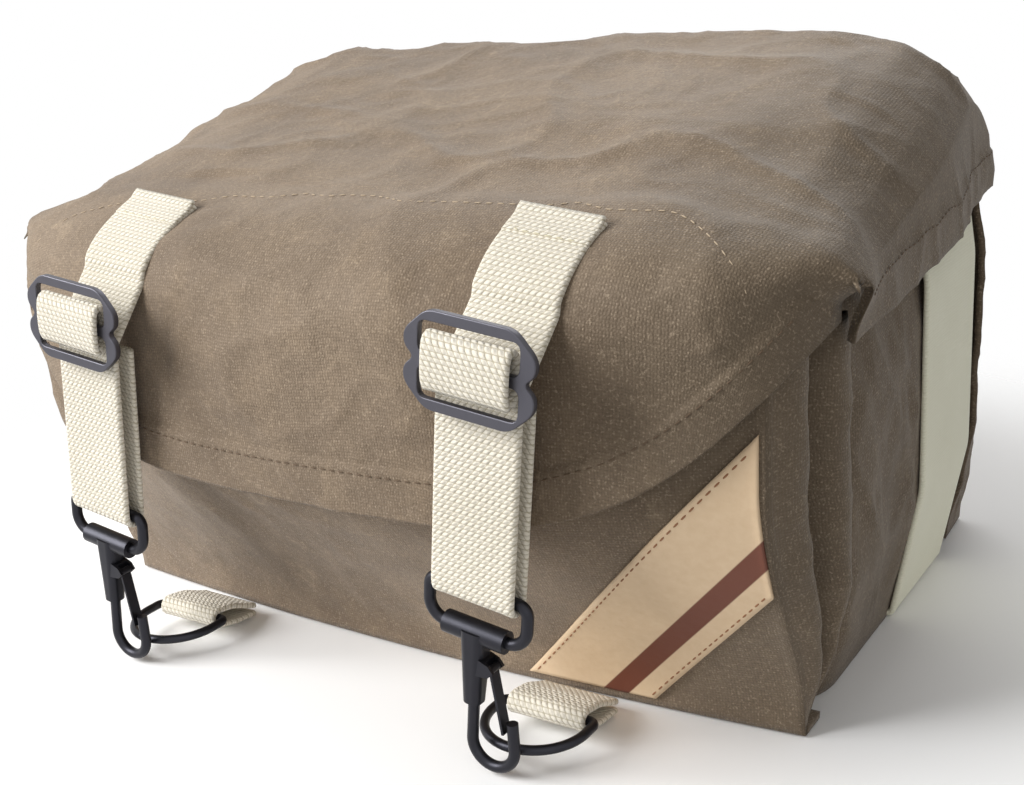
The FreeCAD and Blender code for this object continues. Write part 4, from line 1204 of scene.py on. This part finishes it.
@dataclass
class Label(SubAssembly):
    """The sewn label, trimmed by the pocket's seams."""

    pocket_tree: BVHTree
    turn: float = 48.0
    centre: tuple[float, float] = (100.0, 38.7)
    half: float = 15.5
    foot: float = 3.2
    side: float = 131.0
    top: float = 74.0
    thick: float = 0.9
    lift: float = 1.15
    most: float = 1.25
    seam: float = 14.0
    seam_lift: float = 1.2

    def pocket_skin(self, x: float, z: float) -> float:
        """The finished front pocket's y at a place in the front view."""
        hit = self.pocket_tree.ray_cast(Vector((x, -400, z)) * MM, Vector((0, 1, 0)))
        return hit[0].y / MM if hit[0] is not None else BODY.pocket_front(x, z)

    def build(self) -> None:
        """The sewn label, trimmed by the pocket's seams, with its edge stitching."""
        turn = math.radians(self.turn)
        along, out = np.array([math.cos(turn), math.sin(turn)]), np.array([-math.sin(turn), math.cos(turn)])
        centre = np.array(self.centre)
        widths = np.linspace(-self.half, self.half, 25)

        def ends(w: float) -> tuple[float, float]:
            start = (self.foot - centre[1] - w * out[1]) / along[1]
            stop = min((self.side - centre[0] - w * out[0]) / along[0], self.top)
            return start, stop

        def spot(w: float, s: float, lift: float) -> tuple[float, float, float]:
            x, z = centre + w * out + s * along
            return x, max(self.pocket_skin(x, z) - lift, BODY.pocket_front(x, z) - self.most), z

        rows = []
        for share in np.linspace(0, 1, 80):
            row = []
            for w in widths:
                start, stop = ends(w)
                row.append(spot(w, start + (stop - start) * share, self.lift))
            rows.append(row)
        outer = np.array(rows)
        if grid_normals(outer)[40, 12][1] > 0:
            outer = outer[:, ::-1]
        obj = sheet("label_cloth", outer, self.thick)
        uv = obj.data.uv_layers["cloth"]
        index = np.empty(len(obj.data.loops), dtype=np.int32)
        obj.data.loops.foreach_get("vertex_index", index)
        places = np.array([v.co for v in obj.data.vertices]) / MM
        w = (places[:, [0, 2]] - centre) @ out
        s = (places[:, [0, 2]] - centre) @ along
        uv.data.foreach_set("uv", (np.stack([w, s], axis=1)[index] * MM).astype(np.float32).ravel())
        self.dress(obj, self.finishes.tan, "bag", ("label_patch",))
        self.declare(obj, outer, "laid", ("front_pocket_canvas",))
        lines = []
        for edge in (-self.seam, self.seam):
            start, stop = ends(edge)
            line = np.array([spot(edge, s, self.seam_lift) for s in np.linspace(start + 1.5, stop - 1.5, 90)])
            lines.append((line, np.tile(np.array([0.0, -1.0, 0.1]), (len(line), 1))))
        self.dress(stitches("label_seam", lines, 1.9, 1.3, 0.5), self.finishes.red_thread, "bag")


@dataclass
class LidPocket(SubAssembly):
    """The flat zipped pocket under the lid."""

    def build(self) -> None:
        """The flat zipped pocket under the lid."""
        cols = 61
        for node, name, material in (("lid_pocket", "lid_pocket_cloth", self.finishes.canvas),
                                     ("zip_tape", "zip_cloth", self.finishes.tape)):
            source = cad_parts[node]
            low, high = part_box(node)
            tree = tree_of(source)
            rows = []
            for y in np.linspace(low.y + 0.0004, high.y - 0.0004, 24 if node == "lid_pocket" else 8):
                row = []
                for x in np.linspace(low.x + 0.0004, high.x - 0.0004, cols):
                    hit = tree.ray_cast(Vector((x, y, -0.1)), Vector((0, 0, 1)))
                    z = hit[0].z if hit[0] is not None else low.z
                    row.append((x / MM, y / MM, z / MM))
                rows.append(row)
            outer = np.array(rows)
            if grid_normals(outer)[4, cols // 2][2] > 0:
                outer = outer[:, ::-1]
            obj = sheet(name, outer, 1.1)
            self.dress(obj, material, "lid", (node,))
            self.declare(obj, outer, "laid", ("lid_and_flap",))


@dataclass
class Fastening(SubAssembly):
    """One strap with its tri-glide, and the tab that holds its ring."""

    side: Side
    lean: float = 7.5
    offset: float = 73.0
    pitch: float = 142.0
    front: float = -139.5
    top: float = 116.0
    width: float = 25.4
    thick: float = 1.9
    bar: float = -62.5
    fold: float = 2.9
    ring_offset: float = 68.1
    ring_front: float = -112.1
    ring_height: float = 6.9
    ring_eye: float = 2.6

    def frame_of(self) -> Callable[[float, float, float], np.ndarray]:
        """Turns a place on the strap, with Z up the webbing, into the part's frame."""
        lean = math.radians(self.lean)
        origin = np.array([self.offset + self.pitch * self.side.value, self.front, self.top])
        turn = np.array([[math.cos(lean), 0, math.sin(lean)], [0, 1, 0], [-math.sin(lean), 0, math.cos(lean)]])
        return lambda x, y, z: origin + turn @ np.array([x, y, z], float)

    def build(self) -> None:
        """One strap: its sewn tab, its loop, the roll round the buckle's bar and the tab that holds the ring."""
        side, word, place = self.side, self.side.word, self.frame_of()
        across = place(1, 0, 0) - place(0, 0, 0)
        low, high = (Vector(v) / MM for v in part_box(f"strap_tab_{word}"))
        axis_top = place(0, 0, 0)
        path: list[np.ndarray] = []
        slope = (place(0, 0, 1) - place(0, 0, 0))
        for z in np.linspace(high.z - 1, low.z + 1.5, 26):
            x = axis_top[0] + slope[0] / slope[2] * (z - axis_top[2])
            width = 11.5
            y = min(LID.flap_skin(x + width * k / 3 * across[0], z + width * k / 3 * across[2])
                    for k in range(-3, 4))
            path.append(np.array([x, y - 1.0, z]))
        lip = [path[0] + np.array([0, -0.3, 1.9]), path[0] + np.array([0, -1.6, 1.2])]
        turned = [p + np.array([0, -1.6 + 0.5 * k / 5, 0]) for k, p in enumerate(path[1:7])]
        self.web(f"tab_fold_{word}", lip + turned, across, 25.2, 1.3, "flap")
        corners = []
        for x, k in ((-9.5, 2), (9.5, 2), (9.5, 5), (-9.5, 5), (-9.5, 2)):
            corners.append(path[k] + across * x + np.array([0, -2.2, 0]))
        line = resample(corners, 1.5)
        up = np.tile(np.array([0.0, -1.0, 0.25]), (len(line), 1))
        self.dress(stitches(f"tab_seam_{word}", [(line, up)], 2.2, 1.1, 0.6), self.finishes.pale_thread, "flap")
        pivot = path[-1] + np.array([0, -0.3, -2.6])
        fold = [place(0, self.fold - self.fold * math.cos(t), self.bar - self.fold * math.sin(t))
                for t in np.linspace(0, math.pi, 13)]
        front = [pivot, place(0, 0.0, -6)] + [place(0, 0, z) for z in np.linspace(-9, -61, 20)]
        back = [place(0, 5.8, z) for z in np.linspace(-61, -8.5, 24)]
        loop = self.web(f"loop_{word}", path + front + fold + back, across, self.width, self.thick, None,
                        (f"strap_tab_{word}", f"strap_loop_{word}"))
        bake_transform(loop)
        self.frayed_end()
        roll = []
        for t in np.linspace(-0.42 * math.pi, 1.42 * math.pi, 40):
            c, s = math.cos(t), math.sin(t)
            y = -4.6 - 2.35 * math.copysign(abs(c) ** 0.55, c)
            z = 7.0 * math.copysign(abs(s) ** 0.7, s)
            roll.append(place(0, y, z))
        roll.append(place(0, -2.45, -6.0))
        self.web(f"roll_{word}", roll, across, 25.2, 1.7, f"buckle_{word}", (f"buckle_wrap_{word}",))
        rx = self.ring_offset + self.pitch * side.value
        eye = self.ring_eye
        nose = [(rx, self.ring_front - eye * math.cos(t), self.ring_height + eye * math.sin(t))
                for t in np.linspace(-1.45, 1.45, 13)]
        low_run = [(rx, -96, 1.4), (rx, -104, 2.2)]
        high_run = [(rx, -105, 8.2), (rx, -99, 5.4), (rx, -95.5, 4.0)]
        self.web(f"ring_web_{word}", low_run + nose + high_run, (1, 0, 0), self.width, 1.8, "bag",
                 (f"ring_tab_{word}",))
        self.buckle()

    def frayed_end(self) -> None:
        """Loose yarn ends at the cut end of the back layer."""
        place = self.frame_of()
        rng = np.random.default_rng(7)
        rows = []
        for x in np.linspace(-12, 12, 26):
            drift = rng.normal(0, 0.5, 3)
            base = place(x, 5.8, -8.8)
            tip = place(x + drift[0], 5.8 + 0.5 * drift[1], -7.4 + 0.5 * drift[2])
            line = np.array([base, (base + tip) / 2 + rng.normal(0, 0.1, 3), tip])
            rows.append((line, np.tile(np.array([0.0, -1.0, 0.0]), (3, 1))))
        word = self.side.word
        self.dress(stitches(f"frayed_{word}", rows, 1.2, 5.0, 0.45), self.finishes.strap, f"strap_{word}")

    def buckle(self) -> None:
        """The flat tri-glide with its corners and edges rounded."""
        place = self.frame_of()
        low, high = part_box(f"buckle_{self.side.word}")
        right = [(12.3, 12.75), (18.8, 6.6), (18.8, 2.6), (15.6, 0.0), (18.8, -2.6), (18.8, -6.6), (12.3, -12.75)]
        rim = right + [(-x, z) for x, z in reversed(right)]
        slots = [[(14.5, a), (14.5, b), (-14.5, b), (-14.5, a)] for a, b in ((1.5, 9.85), (-9.85, -1.5))]
        curve = bpy.data.curves.new(f"buckle_outline_{self.side.word}", "CURVE")
        curve.dimensions, curve.fill_mode = "2D", "BOTH"
        curve.extrude, curve.bevel_depth, curve.bevel_resolution, curve.offset = 0.7 * MM, 0.3 * MM, 3, -0.3 * MM
        for points, radius in ((rim, 2.6), (slots[0], 2.4), (slots[1], 2.4)):
            line = rounded(points, radius)
            spline = curve.splines.new("POLY")
            spline.points.add(len(line) - 1)
            spline.points.foreach_set("co", [v for x, z in line for v in (x * MM, z * MM, 0, 1)])
            spline.use_cyclic_u = True
        temporary = bpy.data.objects.new("outline", curve)
        mesh = bpy.data.meshes.new_from_object(temporary)
        bpy.data.objects.remove(temporary)
        across, up, origin = place(1, 0, 0) - place(0, 0, 0), place(0, 0, 1) - place(0, 0, 0), place(0, 0, 0)
        middle = Vector((origin[0] * MM, (low.y + high.y) / 2, origin[2] * MM))
        turn = Matrix((across, up, np.cross(across, up))).transposed().to_4x4()
        mesh.transform(Matrix.Translation(middle) @ turn)
        mesh.polygons.foreach_set("use_smooth", [True] * len(mesh.polygons))
        mesh.set_sharp_from_angle(angle=math.radians(50))
        obj = bpy.data.objects.new(f"tri_glide_{self.side.word}", mesh)
        bpy.context.scene.collection.objects.link(obj)
        self.dress(obj, self.finishes.satin, f"buckle_{self.side.word}", (f"buckle_{self.side.word}",))


@dataclass
class Hardware(SubAssembly):
    """The metal pieces and the board, which keep their shape."""

    def build(self) -> None:
        """Finishes for the pieces that keep their shape."""
        for name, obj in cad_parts.items():
            if name.startswith("buckle_") and "wrap" not in name:
                finish = self.finishes.satin
            elif name.startswith(("bail", "hook", "gate", "ring_left", "ring_right", "zip_slider")):
                finish = self.finishes.black
            elif name == "base_board":
                finish = self.finishes.board
            else:
                continue
            obj.data.materials.clear()
            obj.data.materials.append(finish)


# ---------------------------------------------------------------------------
# Setting
# ---------------------------------------------------------------------------


def set_camera() -> None:
    """The fitted camera: its place, its turn and its lens."""
    azimuth, elevation, roll = (math.radians(v) for v in (34.33, 17.06, -4.07))
    level = math.cos(elevation)
    back = Vector((math.sin(azimuth) * level, -math.cos(azimuth) * level, math.sin(elevation)))
    right = Vector((math.cos(azimuth), math.sin(azimuth), 0))
    up = back.cross(right)
    c, s = math.cos(roll), math.sin(roll)
    turned, upright = c * right + s * up, -s * right + c * up
    matrix = Matrix((turned, upright, back)).transposed().to_4x4()
    matrix.translation = Vector((248.32, -383.57, 200.71)) * MM
    data = bpy.data.cameras.new("camera")
    data.lens = 1311.76 / 1024 * 36
    data.sensor_width = 36
    data.sensor_fit = "HORIZONTAL"
    data.clip_start = 0.01
    camera = bpy.data.objects.new("camera", data)
    bpy.context.scene.collection.objects.link(camera)
    camera.matrix_world = matrix
    bpy.context.scene.camera = camera


def set_world() -> None:
    """White behind the object, a softer grey in what lights it."""
    world = bpy.data.worlds.new("studio")
    world.use_nodes = True
    bpy.context.scene.world = world
    tree = Tree(world.node_tree)
    world.node_tree.nodes.clear()
    path = tree.add("ShaderNodeLightPath")
    seen = tree.math("MAXIMUM", path.outputs["Is Camera Ray"], path.outputs["Is Transmission Ray"])
    seen = tree.math("MAXIMUM", seen, path.outputs["Is Glossy Ray"])
    soft = tree.add("ShaderNodeBackground", {"Color": (1.0, 0.985, 0.96, 1.0), "Strength": 0.36})
    white = tree.add("ShaderNodeBackground", {"Color": (1.0, 1.0, 1.0, 1.0), "Strength": 1.0})
    both = tree.add("ShaderNodeMixShader", {0: seen, 1: soft.outputs[0], 2: white.outputs[0]})
    tree.add("ShaderNodeOutputWorld", {"Surface": both.outputs[0]})


def add_light(name: str, place: Sequence[float], aim: Sequence[float], size: float, power: float) -> None:
    """A square soft light.

    Args:
        name: Its name.
        place: Where it stands, in metres.
        aim: What it points at.
        size: Length of its side.
        power: Its power in watts.
    """
    data = bpy.data.lights.new(name, "AREA")
    data.size, data.energy = size, power
    obj = bpy.data.objects.new(name, data)
    obj.location = place
    obj.rotation_euler = (Vector(aim) - Vector(place)).to_track_quat("-Z", "Y").to_euler()
    bpy.context.scene.collection.objects.link(obj)


def set_floor() -> None:
    """A pale floor, white enough to run into the background."""
    mesh = bpy.data.meshes.new("floor")
    mesh.from_pydata([(-4, -4, 0), (4, -4, 0), (4, 4, 0), (-4, 4, 0)], [], [(0, 1, 2, 3)])
    floor = bpy.data.objects.new("floor", mesh)
    material = bpy.data.materials.new("floor_white")
    material.use_nodes = True
    shader = material.node_tree.nodes["Principled BSDF"]
    shader.inputs["Base Color"].default_value = (0.97, 0.97, 0.97, 1)
    shader.inputs["Roughness"].default_value = 0.9
    tree = Tree(material.node_tree)
    place = tree.add("ShaderNodeTexCoord").outputs["Object"]
    reach = tree.add("ShaderNodeVectorMath", {0: place}, operation="LENGTH").outputs["Value"]
    clear = tree.add("ShaderNodeBsdfTransparent")
    fade = tree.add("ShaderNodeMixShader", {0: tree.ramp(reach, 0.17, 0.34), 1: shader.outputs[0],
                                            2: clear.outputs[0]})
    tree.tree.links.new(fade.outputs[0], material.node_tree.nodes["Material Output"].inputs["Surface"])
    mesh.materials.append(material)
    floor.location.z = -0.0005
    bpy.context.scene.collection.objects.link(floor)


def main() -> None:
    """Dress the satchel and light it."""
    logging.basicConfig(level=logging.INFO)
    scene = bpy.context.scene
    scene.view_settings.view_transform = "Standard"
    set_camera()
    set_world()
    set_floor()
    add_light("key", (-0.78, -0.85, 0.72), (-0.05, 0, 0.08), 0.8, 25)
    add_light("fill", (0.9, -0.9, 0.5), (0, 0, 0.08), 1.0, 1.7)
    add_light("back", (-0.2, 0.9, 0.9), (0, 0, 0.1), 0.8, 6)
    finishes = Finishes()
    Compartment(finishes).build()
    front = Pocket(finishes, "front_pocket_canvas", "front_pocket", BODY.pocket_half, BODY.pocket_height,
                   BODY.pocket_front, -BODY.front, 6.0).build()
    Pocket(finishes, "rear_pocket_canvas", "rear_pocket", BODY.rear_half, BODY.rear_height,
           lambda x, z: BODY.rear_skin(z), BODY.back, 2.0).build()
    SideWebbing(finishes).build()
    lid = Lid(finishes)
    lid.build()
    lid.seams()
    Label(finishes, tree_of(front)).build()
    LidPocket(finishes).build()
    for side in Side:
        Fastening(finishes, side).build()
    Hardware(finishes).build()


if __name__ == "__main__":
    main()
